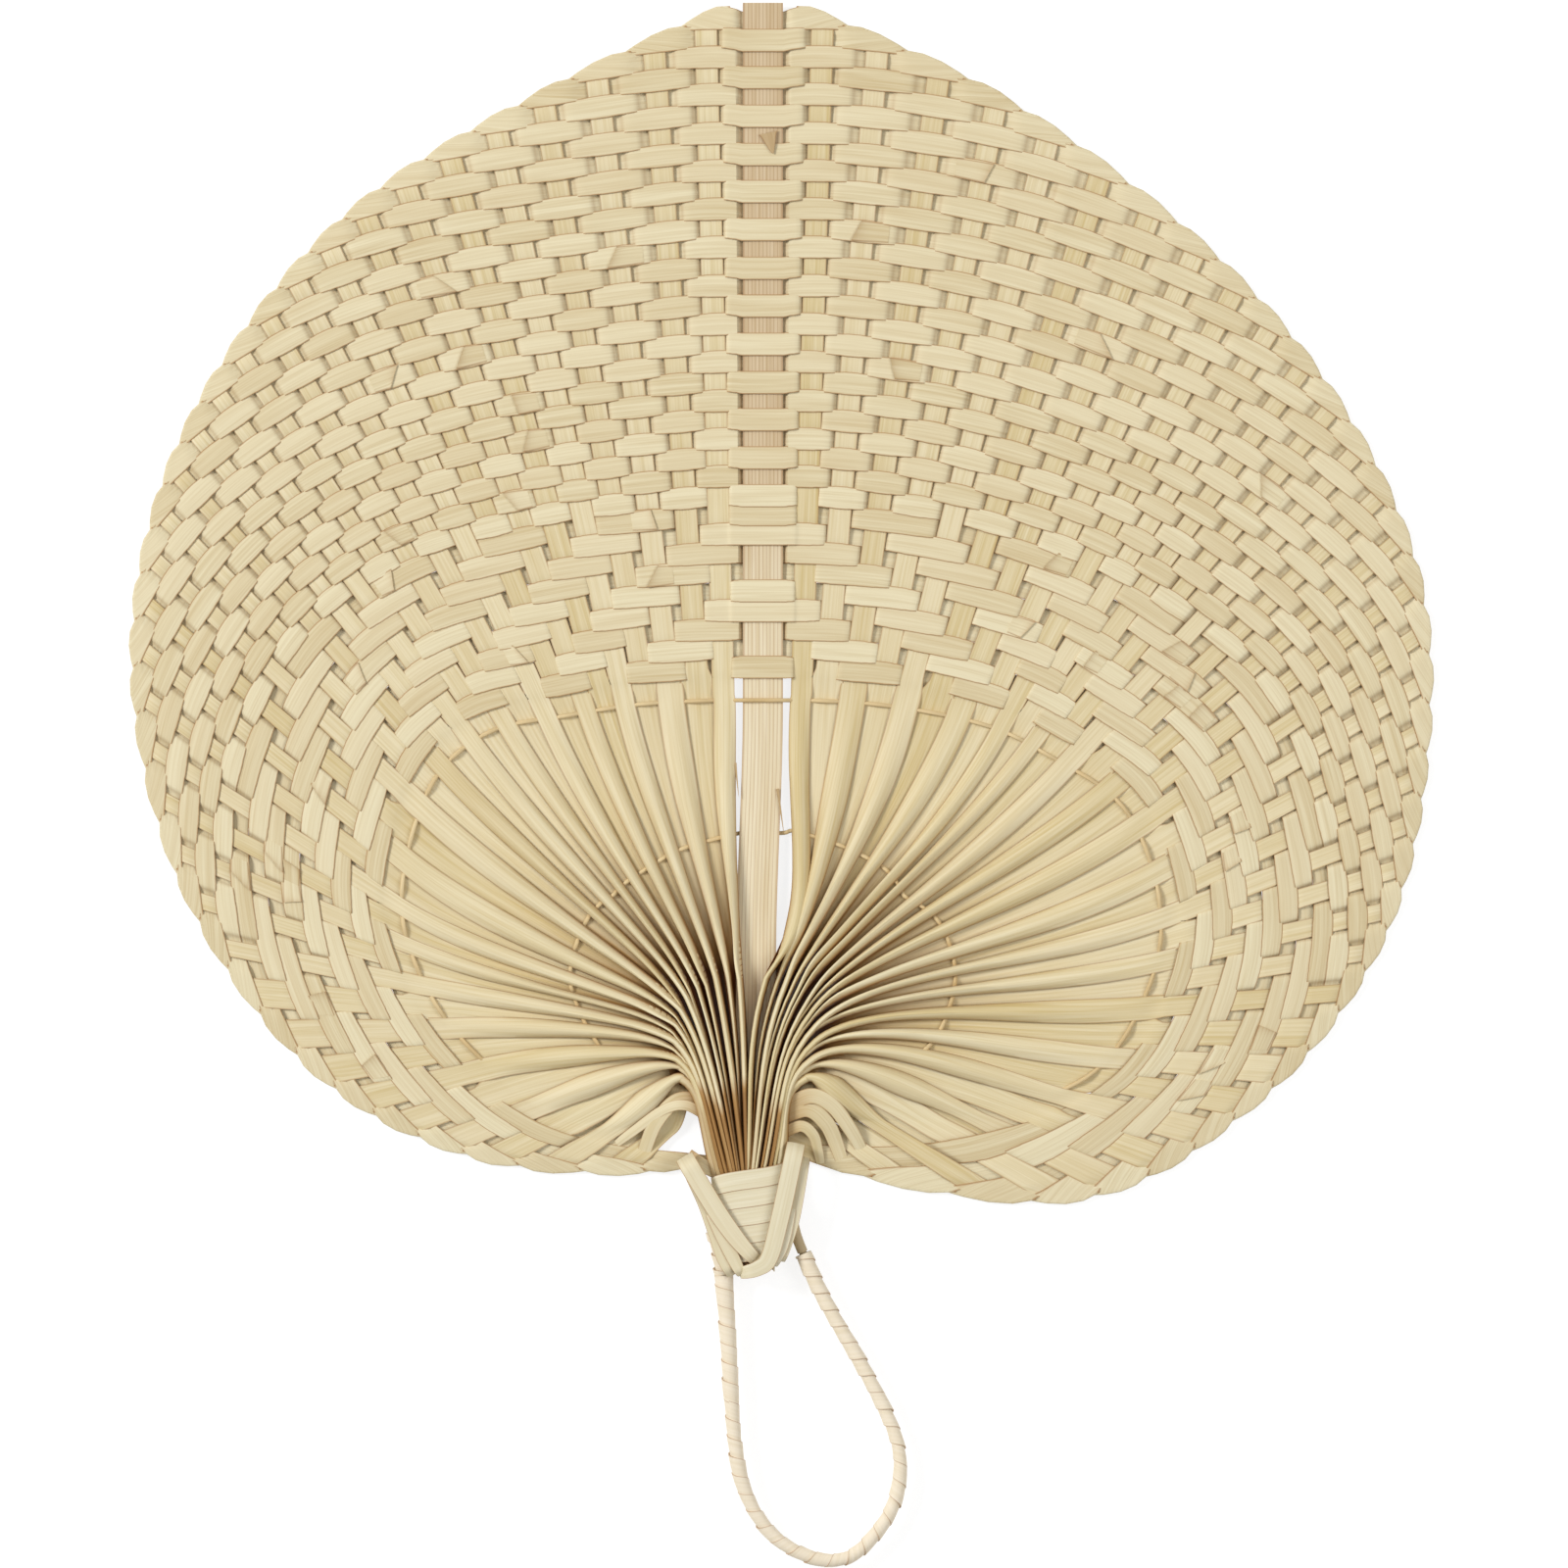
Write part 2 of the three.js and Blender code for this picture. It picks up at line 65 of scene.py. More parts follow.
FAN_BODY, LOOP_BODY = "fan_body", "handle_loop"
MM = 0.001
UP = np.array([0.0, 0.0, 1.0])

# A strip's two maps: millimetres across and along it, and share across it with its own shade number
SIZE_MAP, SHARE_MAP = "StripSize", "StripShare"

# How far each point of a strip is browned: mostly painted shade, in the bundle, in the valleys of the
# pleats and where wefts dive, and partly the leaf's own stain
SHADE_AND_STAIN = "LeafShadeAndStain"

# Inner edge and rim of the weave in millimetres, one point at every fourth warp from rib to neck
STATION_STEP = 4
WEAVE = {
    "left": {
        "sign": -1,
        "inner": [
            (-4.8, 124), (-28, 122.9), (-47.3, 119.9), (-66.5, 115.4), (-80.6, 102.6),
            (-88.1, 78.7), (-85.4, 58.5), (-72.8, 37.1), (-49.2, 18.9), (-9.5, 12.2),
        ],
        "rim": [
            (-4.8, 280.6), (-51.2, 258.8), (-93.1, 233.1), (-122.2, 200.3), (-140.4, 162.7),
            (-145.2, 120.4), (-132.7, 72.6), (-103.1, 32.5), (-62.6, 12.3), (-9.5, 9.8),
        ],
    },
    "right": {
        "sign": 1,
        "inner": [
            (4.8, 124), (27.8, 122.7), (52.8, 117.7), (69.2, 109.9), (87.6, 96.7),
            (96.3, 74.9), (94.7, 53.3), (80.1, 30), (46, 16.4), (1.5, 15.2),
        ],
        "rim": [
            (4.8, 280.6), (54.4, 258.3), (101.1, 224.2), (132.9, 187.5), (151.8, 145.7),
            (152.7, 100.8), (141.6, 60.3), (113.1, 25), (69.9, 3.2), (1.5, 13),
        ],
    },
}
ROW_COUNT, WARP_COUNT, TWILL_ROWS = 35, 34, 9
FOLD_SUM = ROW_COUNT + 0.5
RIB_HALF = 4.8

# Heights in millimetres, from the frame
WEAVE_MID = sum(corner.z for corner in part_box("weft_row_20")) / 2 / MM
NECK_MID = sum(corner.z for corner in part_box("neck_wrap")) / 2 / MM

# The bundle of segments on edge, from the neck up to the knees where they bend out into the pleats.
# A knee's start, reach and bulge are its distances from the midrib for the first segment, for most
# of them and for the last one, rush is how soon they spread, lean its angle for the first segment
# with what the last one adds, and bend how softly they turn.
NECK_X, NECK_Y, NECK_HALF = -3.3, 7.0, 7.0
KNEE_TOP, KNEE_DROP = 54.0, 24.0
KNEES = {
    "left": {
        "start": 5.2, "reach": 15.4, "bulge": -2.0, "rush": 3.4, "lean": (5, 54),
        "bend": (0.26, 0.13),
    },
    "right": {
        "start": 1.0, "reach": 12.0, "bulge": -3.4, "rush": 3.6, "lean": (17, 42),
        "bend": (0.36, 0.2),
    },
}

# Course of the loop from its left root to its right root, in millimetres
LOOP_COURSE = [
    (-9.1, -14.8), (-8, -30.3), (-7.3, -43.2), (-6.4, -54.4), (-4.6, -63.5), (-0.7, -71.5),
    (5.2, -77.4), (13.7, -80.8), (20.9, -79.7), (27.3, -73.3), (30.7, -66.9), (31.9, -58.9),
    (30.7, -51.9), (27.3, -43.9), (22.1, -34.1), (16.8, -25), (12.7, -17.3), (9.2, -9.4),
]


def linear(hex_colour):
    """Linear RGBA of an sRGB hex colour."""
    shares = [int(hex_colour[n:n + 2], 16) / 255 for n in (0, 2, 4)]
    return (*[s / 12.92 if s <= 0.04045 else ((s + 0.055) / 1.055) ** 2.4 for s in shares], 1.0)


def length(name, description, millimetres):
    """A length that the sidebar shows, given in millimetres."""
    return FloatProperty(
        name=name, description=description, default=millimetres * MM, unit="LENGTH", precision=5,
    )


def colour(name, description, hex_colour):
    """A colour that the sidebar shows, given as sRGB hex."""
    return FloatVectorProperty(
        name=name, description=description, subtype="COLOR", size=4, min=0, max=1,
        default=linear(hex_colour),
    )


class FanWeaveSettings(bpy.types.PropertyGroup):
    """Sizes of the strips in the weave."""

    strip_width: length("Strip width", "Width of a leaf segment in the weave", 5.2)
    strip_thickness: length("Strip thickness", "Thickness of a weft strip", 0.3)
    weft_lift: length("Weft lift", "How far a weft passes over or under the weave's middle", 0.5)
    rib_lift: length("Rib lift", "How far a weft passes over or under the midrib's middle", 0.8)
    weft_crown: length("Weft crown", "How far a weft strip is rounded across", 0.15)
    weft_tilt: length("Weft tilt", "How far a row's inner edge lies above the next row", 0.16)
    warp_sway: length("Warp sway", "How far a warp gives way to the wefts", 0.3)
    rim_bulge: length("Rim bulge", "How far each fold stands out at the rim", 1.3)
    fold_radius: length("Fold radius", "Radius of the folds at the rim", 0.45)
    weft_cover: FloatProperty(
        name="Weft cover", description="Width of a row as a share of its spacing",
        default=1.2, subtype="FACTOR", min=0.5, max=1.4,
    )


class FanPleatSettings(bpy.types.PropertyGroup):
    """Sizes of the pleats between neck and weave."""

    blade_thickness: length("Blade thickness", "Thickness of a leaf segment", 0.2)
    blade_crown: length("Blade crown", "How far a segment is rounded across", 2.0)
    twine_diameter: length("Twine diameter", "Diameter of the sewing twine", 0.95)
    rib_thickness: length("Rib thickness", "Thickness of the midrib", 0.8)


class FanBindingSettings(bpy.types.PropertyGroup):
    """Sizes of the neck binding and the loop."""

    neck_pitch: length("Neck pitch", "Spacing of the neck's turns", 4.2)
    strap_thickness: length("Strap thickness", "Thickness of the straps", 0.35)
    loop_diameter: length("Loop diameter", "Diameter of the wrapped loop", 3.3)
    core_diameter: length("Core diameter", "Diameter of the loop's bare core", 1.8)
    bare_core: length("Bare core", "Length of the loop's core left bare at its right root", 0.4)
    loop_turns: IntProperty(
        name="Loop turns", description="Turns of the strip round the loop", default=37, min=5,
    )


class FanFinishSettings(bpy.types.PropertyGroup):
    """Colours of the leaf."""

    weft_pale: colour("Weft, pale", "Palest fibres of the weft strips", "ECE0BC")
    weft_deep: colour("Weft, deep", "Deepest fibres of the weft strips", "D1BC8F")
    warp_pale: colour("Warp, pale", "Palest fibres of the segments", "F2E6C1")
    warp_deep: colour("Warp, deep", "Deepest fibres of the segments", "D7C28A")
    rib_pale: colour("Rib, pale", "Palest fibres of the midrib", "F0E2C2")
    rib_deep: colour("Rib, deep", "Deepest fibres of the midrib", "D7C094")
    bind_pale: colour("Binding, pale", "Palest fibres of the bindings", "EDE4C7")
    bind_deep: colour("Binding, deep", "Deepest fibres of the bindings", "D9CAA2")
    loop_pale: colour("Loop, pale", "Palest fibres of the loop's winding", "F7EAD3")
    loop_deep: colour("Loop, deep", "Deepest fibres of the loop's winding", "EADABA")
    twine_pale: colour("Twine, pale", "Palest fibres of the sewing twine", "E6D0A2")
    twine_deep: colour("Twine, deep", "Deepest fibres of the sewing twine", "C9A870")
    edge: colour("Edge", "Browned edges of the strips", "A6733E")
    core: colour("Core", "Fibres of the bare loop core", "6E5233")


def add_node(tree, kind, inputs=None, **settings):
    """Adds a node with its settings, and sets or links its inputs."""
    node = tree.nodes.new(kind)
    for name, value in settings.items():
        setattr(node, name, value)
    for key, value in (inputs or {}).items():
        if isinstance(value, bpy.types.NodeSocket):
            tree.links.new(value, node.inputs[key])
        else:
            node.inputs[key].default_value = value
    return node


# A pinker cream to which some strips have dried, and the filters through which painted shade and stain
# darken the leaf: first to a warm tan and then to a dark brown, each between two amounts of shade and
# stain
PINK_CREAM = "E8D8B3"
SHADE_AND_STAIN_FILTERS = (0.0, 0.5, "BF9C72"), (0.5, 1.0, "98724C")


def dried_palm_leaf(
    name, pale, deep, edge, fibre_mm=0.45, edge_share=0.86, edge_depth=0.6, veins_mm=0, tint=0.3,
):
    """Sun-dried palm leaf, split into strips: a satin skin with fine lengthwise fibres, a shade of
    its own for each strip and edges that have browned where the leaf was split. The fibres are
    about 0.2 mm wide, and are drawn at fibre_mm so that they show."""
    fibre_length, streak_width, streak_length = 26.0, 1.7, 60.0
    fibre_depth = 0.12 * MM
    material = bpy.data.materials.new(name)
    material.use_nodes = True
    tree = material.node_tree
    tree.nodes.clear()
    size = add_node(tree, "ShaderNodeUVMap", uv_map=SIZE_MAP)
    share = add_node(tree, "ShaderNodeUVMap", uv_map=SHARE_MAP)
    place = add_node(tree, "ShaderNodeSeparateXYZ", {0: size.outputs["UV"]})
    strip = add_node(tree, "ShaderNodeSeparateXYZ", {0: share.outputs["UV"]})
    shade = strip.outputs["Y"]
    noises = []
    for width, along, shift in (
        (fibre_mm, fibre_length, 91.0), (streak_width, streak_length, 37.0),
    ):
        across = add_node(
            tree, "ShaderNodeMath", {0: place.outputs["X"], 1: 1 / width}, operation="MULTIPLY",
        )
        down = add_node(
            tree, "ShaderNodeMath", {0: place.outputs["Y"], 1: 1 / along}, operation="MULTIPLY",
        )
        apart = add_node(tree, "ShaderNodeMath", {0: shade, 1: shift}, operation="MULTIPLY")
        spot = add_node(
            tree, "ShaderNodeCombineXYZ",
            {"X": across.outputs[0], "Y": down.outputs[0], "Z": apart.outputs[0]},
        )
        noise = add_node(
            tree, "ShaderNodeTexNoise",
            {"Vector": spot.outputs[0], "Scale": 1.0, "Detail": 2.0, "Roughness": 0.6},
        )
        noises.append(noise.outputs["Fac"])
    fibre = add_node(
        tree, "ShaderNodeMapRange",
        {"Value": noises[0], "From Min": 0.34, "From Max": 0.68, "To Min": -0.22, "To Max": 0.3},
    )
    streak = add_node(
        tree, "ShaderNodeMapRange",
        {"Value": noises[1], "From Min": 0.3, "From Max": 0.7, "To Min": -0.12, "To Max": 0.3},
    )
    own = add_node(
        tree, "ShaderNodeMapRange", {"Value": shade, "To Min": 0.05, "To Max": 0.55},
    )
    depth = add_node(
        tree, "ShaderNodeMath", {0: fibre.outputs[0], 1: streak.outputs[0]}, operation="ADD",
    )
    depth = add_node(
        tree, "ShaderNodeMath", {0: depth.outputs[0], 1: own.outputs[0]},
        operation="ADD", use_clamp=True,
    )
    leaf = add_node(
        tree, "ShaderNodeMix",
        {"Factor": depth.outputs[0], "A": pale, "B": deep}, data_type="RGBA",
    )
    pink = add_node(tree, "ShaderNodeMath", {0: shade, 1: 5.7}, operation="MULTIPLY")
    pink = add_node(tree, "ShaderNodeMath", {0: pink.outputs[0]}, operation="FRACT")
    pink = add_node(
        tree, "ShaderNodeMapRange", {"Value": pink.outputs[0], "From Min": 0.3, "To Max": tint},
    )
    leaf = add_node(
        tree, "ShaderNodeMix",
        {"Factor": pink.outputs[0], "A": leaf.outputs["Result"], "B": linear(PINK_CREAM)},
        data_type="RGBA",
    )
    rim = add_node(tree, "ShaderNodeMath", {0: strip.outputs["X"]}, operation="ABSOLUTE")
    browned = add_node(
        tree, "ShaderNodeMapRange",
        {"Value": rim.outputs[0], "From Min": edge_share, "From Max": 1.0, "To Max": edge_depth},
        interpolation_type="SMOOTHSTEP",
    )
    skin = add_node(
        tree, "ShaderNodeMix",
        {"Factor": browned.outputs[0], "A": leaf.outputs["Result"], "B": edge}, data_type="RGBA",
    )
    if veins_mm:
        lines = add_node(
            tree, "ShaderNodeMath",
            {0: place.outputs["X"], 1: 2 * math.pi / veins_mm}, operation="MULTIPLY",
        )
        wave = add_node(tree, "ShaderNodeMath", {0: lines.outputs[0]}, operation="COSINE")
        vein = add_node(
            tree, "ShaderNodeMapRange",
            {"Value": wave.outputs[0], "From Min": 0.6, "From Max": 1.0, "To Max": 0.4},
        )
        skin = add_node(
            tree, "ShaderNodeMix",
            {"Factor": vein.outputs[0], "A": skin.outputs["Result"], "B": edge}, data_type="RGBA",
        )
    # painted shade and stain, read from each point, darken the leaf through two filters
    shade_and_stain = add_node(tree, "ShaderNodeAttribute", attribute_name=SHADE_AND_STAIN)
    for start, end, filter_colour in SHADE_AND_STAIN_FILTERS:
        amount = add_node(
            tree, "ShaderNodeMapRange",
            {"Value": shade_and_stain.outputs["Fac"], "From Min": start, "From Max": end},
        )
        skin = add_node(
            tree, "ShaderNodeMix",
            {"Factor": amount.outputs[0], "A": skin.outputs["Result"], "B": linear(filter_colour)},
            data_type="RGBA", blend_type="MULTIPLY",
        )
    grain = add_node(
        tree, "ShaderNodeBump",
        {"Height": noises[0], "Strength": 0.35, "Distance": fibre_depth},
    )
    shader = add_node(
        tree, "ShaderNodeBsdfPrincipled",
        {
            "Base Color": skin.outputs["Result"], "Normal": grain.outputs[0],
            "Roughness": 0.58, "IOR": 1.45, "Specular IOR Level": 0.35,
        },
    )
    add_node(tree, "ShaderNodeOutputMaterial", {"Surface": shader.outputs[0]})
    return material


# Two faces that meet at more than this angle keep a sharp edge
SHARP_ANGLE = math.radians(45)


class Strips:
    """Gathers leaf strips, given in millimetres, into one mesh with the two maps of a strip."""

    def __init__(self):
        self.points, self.faces, self.sizes, self.shares, self.shades_and_stains = [], [], [], [], []
        self.count = 0

    def add(self, top, bottom, shade, shade_and_stain=0.0, underside_share=1.0):
        """A closed strip between two grids of points, rings along it and columns across it, whose
        underside has a share of its painted shade and stain."""
        rings, columns = top.shape[:2]
        across = np.linspace(-1, 1, columns)
        width = np.linalg.norm(top[:, -1] - top[:, 0], axis=1)
        step = np.linalg.norm(np.diff(top[:, columns // 2], axis=0), axis=1)
        along = np.concatenate([[0], np.cumsum(step)])
        size = np.empty((rings, columns, 2))
        size[..., 0] = across * width[:, None] / 2
        size[..., 1] = along[:, None]
        share = np.empty((rings, columns, 2))
        share[..., 0] = across
        share[..., 1] = shade
        grid = np.arange(rings * columns).reshape(rings, columns)
        under = grid + rings * columns
        quads = [
            self._quads(grid), self._quads(under)[:, ::-1],
            self._band(under[:, 0], grid[:, 0]), self._band(grid[:, -1], under[:, -1]),
            self._band(grid[0], under[0]), self._band(under[-1], grid[-1]),
        ]
        self.points += [top.reshape(-1, 3), bottom.reshape(-1, 3)]
        self.faces.append(np.concatenate(quads) + self.count)
        self.sizes += [size.reshape(-1, 2)] * 2
        self.shares += [share.reshape(-1, 2)] * 2
        shade_and_stain = np.asarray(shade_and_stain, float)
        shade_and_stain = shade_and_stain[:, None] if shade_and_stain.ndim == 1 else shade_and_stain
        shade_and_stain = np.broadcast_to(shade_and_stain, (rings, columns)).ravel()
        self.shades_and_stains += [shade_and_stain, shade_and_stain * underside_share]
        self.count += 2 * rings * columns

    @staticmethod
    def _quads(grid):
        """Faces of a grid of points."""
        corners = grid[:-1, :-1], grid[:-1, 1:], grid[1:, 1:], grid[1:, :-1]
        return np.stack([corner.ravel() for corner in corners], 1)

    @staticmethod
    def _band(one, other):
        """Faces between two rows of points."""
        return np.stack([one[:-1], other[:-1], other[1:], one[1:]], 1)

    def build(self, name, finish, body, slot, *nodes):
        """Builds the piece, which rides on a body, or, given the two bodies of a joint with a start
        and an end, stays where it is; it stands for CAD nodes."""
        mesh = bpy.data.meshes.new(name)
        points = np.concatenate(self.points) * MM
        mesh.from_pydata(points.tolist(), [], np.concatenate(self.faces).tolist())
        corner = np.empty(len(mesh.loops), np.int32)
        mesh.loops.foreach_get("vertex_index", corner)
        for map_name, rows in ((SIZE_MAP, self.sizes), (SHARE_MAP, self.shares)):
            places = np.concatenate(rows)[corner]
            mesh.uv_layers.new(name=map_name).data.foreach_set("uv", places.ravel())
        shades_and_stains = np.concatenate(self.shades_and_stains)
        mesh.attributes.new(SHADE_AND_STAIN, "FLOAT", "POINT").data.foreach_set("value", shades_and_stains)
        shell = bmesh.new()
        shell.from_mesh(mesh)
        bmesh.ops.recalc_face_normals(shell, faces=shell.faces)
        shell.to_mesh(mesh)
        shell.free()
        mesh.shade_smooth()
        mesh.set_sharp_from_angle(angle=SHARP_ANGLE)
        mesh.materials.append(finish)
        piece = bpy.data.objects.new(name, mesh)
        bpy.context.scene.collection.objects.link(piece)
        if isinstance(body, str):
            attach(piece, body)
        else:
            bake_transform(piece)
        if nodes:
            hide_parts(*nodes)


def spline(points, place):
    """Places on a smooth curve through points, where a whole number is a point of its own."""
    points = np.asarray(points, float)
    last = len(points) - 1
    place = np.clip(np.asarray(place, float), 0, last - 1e-9)
    low = place.astype(int)
    share = (place - low)[..., None]
    before, start = points[np.maximum(low - 1, 0)], points[low]
    end, after = points[np.minimum(low + 1, last)], points[np.minimum(low + 2, last)]
    leave, arrive = (end - before) / 2, (after - start) / 2
    bend = (2 * start - 2 * end + leave + arrive) * share ** 3
    return bend + (3 * end - 3 * start - 2 * leave - arrive) * share ** 2 + leave * share + start


def smooth(share):
    """Eases a share in and out."""
    share = np.clip(share, 0, 1)
    return share * share * (3 - 2 * share)


def unit(vectors):
    """Vectors at a length of one."""
    return vectors / np.maximum(np.linalg.norm(vectors, axis=-1, keepdims=True), 1e-9)


def inner_edge(side, warp):
    """Place in the plane of the weave's inner edge at a warp."""
    return spline(WEAVE[side]["inner"], np.asarray(warp, float) / STATION_STEP)


def rim_edge(side, warp):
    """Place in the plane of the rim at a warp."""
    return spline(WEAVE[side]["rim"], np.asarray(warp, float) / STATION_STEP)


def weave_place(side, warp, row):
    """Place in the plane of a warp number and a row number."""
    warp, row = np.broadcast_arrays(np.asarray(warp, float), np.asarray(row, float))
    inner, rim = inner_edge(side, warp), rim_edge(side, warp)
    return inner + (rim - inner) * (row / np.maximum(FOLD_SUM - warp, 1))[..., None]


def rim_outward(side, warp):
    """Unit vector out of the rim, in the plane."""
    reach = 0.1
    along = rim_edge(side, warp + reach) - rim_edge(side, warp - reach)
    return -WEAVE[side]["sign"] * unit(np.stack([along[..., 1], -along[..., 0]], -1))


def warp_pitch(side, warp, row):
    """Distance between two warps at a row."""
    gap = weave_place(side, warp + 0.5, row) - weave_place(side, warp - 0.5, row)
    return np.linalg.norm(gap, axis=-1)


def weft_is_over(row, warp):
    """Plain weave in the outer rows, and a twill of two over and two under in the inner ones."""
    row, warp = np.broadcast_arrays(row, warp)
    twill = np.isin((row + warp) % 4, (0, 3))
    return np.where(row >= TWILL_ROWS, (row + warp) % 2 == 1, twill)


def raised(flat, height):
    """Places in the plane with their heights."""
    return np.concatenate([flat, np.broadcast_to(height, flat.shape[:-1])[..., None]], -1)


# Columns of points across a weft, from its inner to its outer edge
WEFT_COLUMNS = np.linspace(-1, 1, 5)

# Steps in warps over which a weft swells from its dives to the middle of each float, and its width
# there as a least share and what it gains
BELLY_STEPS = (-0.45, -0.2, 0.2, 0.45)
BELLY_LEAST, BELLY_GAIN = 0.8, 0.2

# How far a row drifts off its course, in rows
WEFT_DRIFT = 0.025

# Warps over which a row runs out to the rim and its rings there, how far its outer part comes down on
# the way, and the angles of the fold back
RIM_RUN, RIM_RINGS, RIM_SINK = 0.95, 9, 0.4
FOLD_ANGLES = (35, 70, 105, 140, 170)

# Painted shade on a weft where it slopes between over and under
SLOPE_SHADE = 0.14

# Where a weft slopes in a warp's spacing: close to the warp that it goes under, or to the rib's edge
SLOPE_PLACE, RIB_SLOPE_PLACE, SLOPE_RUN = 0.34, 0.14, 0.2
WARP_STOPS = np.array([0, 0.14, 0.24, 0.29, 0.34, 0.39, 0.44, 0.56, 0.61, 0.66, 0.71, 0.76, 0.88])


def weft_height(row, warp, weave):
    """Height of a weft off the middle of the weave, level on each warp and sloped between them."""
    warp = np.maximum(warp, 0)
    low = np.floor(warp).astype(int)

    def level(number):
        lift = np.where(number == 0, weave.rib_lift, weave.weft_lift) / MM
        return np.where(weft_is_over(row, number), lift, -lift)

    rising = np.where(low == 0, RIB_SLOPE_PLACE, SLOPE_PLACE)
    place = np.where(weft_is_over(row, low), 1 - SLOPE_PLACE, rising)
    share = smooth((warp - low - place) / SLOPE_RUN + 0.5)
    return level(low) + (level(low + 1) - level(low)) * share


def weft_half(side, row, weave, wander):
    """Top points, normals and painted shade of a row from the rib to its fold at the rim."""
    crown, tilt = weave.weft_crown / MM, weave.weft_tilt / MM
    end = FOLD_SUM - row - 0.5
    straight = max(end - RIM_RUN, 0.05)
    cover = WEFT_COLUMNS * weave.weft_cover / 2
    stops = (np.arange(math.ceil(straight))[:, None] + WARP_STOPS).ravel()
    body = np.append(stops[stops < straight - 0.02], straight)
    shape = crown * (1 - WEFT_COLUMNS ** 2) - tilt * WEFT_COLUMNS

    def above(warp):
        return smooth((weft_height(row, warp, weave) / (weave.weft_lift / MM) + 1) / 2)

    def belly(warp):
        return sum(above(warp + step) for step in BELLY_STEPS) / len(BELLY_STEPS)

    def level(warp):
        drift = WEFT_DRIFT * np.sin(warp * wander[0] + wander[1])
        return row + 0.5 + cover * (BELLY_LEAST + BELLY_GAIN * belly(warp)) + drift

    warp = np.repeat(body[:, None], len(cover), 1)
    places = [raised(
        weave_place(side, warp, level(warp)), WEAVE_MID + weft_height(row, warp, weave) + shape,
    )]
    # the last stretch runs out to the rim, where it bulges and folds back on itself
    share = np.linspace(0, 1, RIM_RINGS)[1:, None]
    rim_warp = FOLD_SUM - level(np.full(len(cover), end))
    warp = straight + (rim_warp - straight) * share
    lift = weave.weft_lift / MM
    height = weft_height(row, np.minimum(warp, end), weave)
    height = height + (0.35 * lift - height) * smooth(share) ** 2 + shape * (1 - share ** 2)
    height = height - RIM_SINK * share * (1 - WEFT_COLUMNS) / 2
    outward = rim_outward(side, rim_warp)
    crest = np.sin(np.pi * np.clip((1 - WEFT_COLUMNS) / 2, 0, 1) ** 0.8)
    bulge = outward * (weave.rim_bulge / MM * crest)[:, None]
    flat = weave_place(side, warp, level(warp) * (1 - share) + (FOLD_SUM - rim_warp) * share)
    places.append(raised(flat + bulge * share[..., None] ** 2, WEAVE_MID + height))
    normals = [np.broadcast_to(UP, places[0].shape), np.broadcast_to(UP, places[1].shape)]
    radius = weave.fold_radius / MM
    out = raised(outward, 0.0)
    for angle in np.radians(FOLD_ANGLES):
        turn = out * (radius * math.sin(angle)) - UP * (radius * (1 - math.cos(angle)))
        places.append((places[1][-1] + turn)[None])
        normals.append((UP * math.cos(angle) + out * math.sin(angle))[None])
    # painted shade where the weft slopes down between over and under
    shade_and_stain = SLOPE_SHADE * 4 * above(body) * (1 - above(body))
    places = np.concatenate(places)
    return places, np.concatenate(normals), np.pad(shade_and_stain, (0, len(places) - len(shade_and_stain)))


def weft_row(row, weave, chance):
    """Top points, bottom points and painted shade of a whole weft row, from the left rim over or under
    the rib to the right rim."""
    wander = chance.uniform(0.6, 1.3), chance.uniform(0, 6.28)
    left, left_normals, left_stain = weft_half("left", row, weave, wander)
    right, right_normals, right_stain = weft_half("right", row, weave, wander)
    span = np.linspace(0, 1, 7)[1:-1, None, None]
    middle = left[0] + (right[0] - left[0]) * span
    top = np.concatenate([left[::-1], middle, right])
    normals = np.concatenate([left_normals[::-1], np.broadcast_to(UP, middle.shape), right_normals])
    shade_and_stain = np.concatenate([left_stain[::-1], np.zeros(len(middle)), right_stain])
    thickness = weave.strip_thickness / MM * (1 - 0.5 * WEFT_COLUMNS ** 4)
    return top, top - normals * thickness[:, None], shade_and_stain


class FAN_OT_weft_rows(bpy.types.Operator):
    """Weaves the weft rows, each folded back at both rims"""

    bl_idname = "fan.weft_rows"
    bl_label = "Weft rows"

    def execute(self, context):
        weave, finish = context.scene.fan_weave, context.scene.fan_finish
        chance = np.random.default_rng(35)
        leaf = dried_palm_leaf(
            "dried_palm_leaf_weft", finish.weft_pale, finish.weft_deep, finish.edge,
            edge_share=0.87, edge_depth=0.85,
        )
        for row in range(ROW_COUNT):
            strips = Strips()
            top, bottom, shade_and_stain = weft_row(row, weave, chance)
            strips.add(top, bottom, chance.uniform(), shade_and_stain)
            name = f"weft_row_{row + 1:02d}"
            strips.build(f"weft_strip_{row + 1:02d}", leaf, FAN_BODY, "leaf", name)
        return {"FINISHED"}


# New strips' cut ends: how many floats have one, rings along it, its length in warps, where it starts
# before the warp, how far it widens, its thickness, the lift of its root and what its tip adds, its
# most slant and the stain of its tip
CUT_END_CHANCE, CUT_END_RINGS, CUT_END_RUN, CUT_END_START, CUT_END_FLARE = 0.07, 8, 0.62, 0.5, 0.12
CUT_END_THICKNESS, CUT_END_LIFT, CUT_END_SLANT, CUT_END_STAIN = 0.15, (0.1, 0.35), 0.22, 0.2


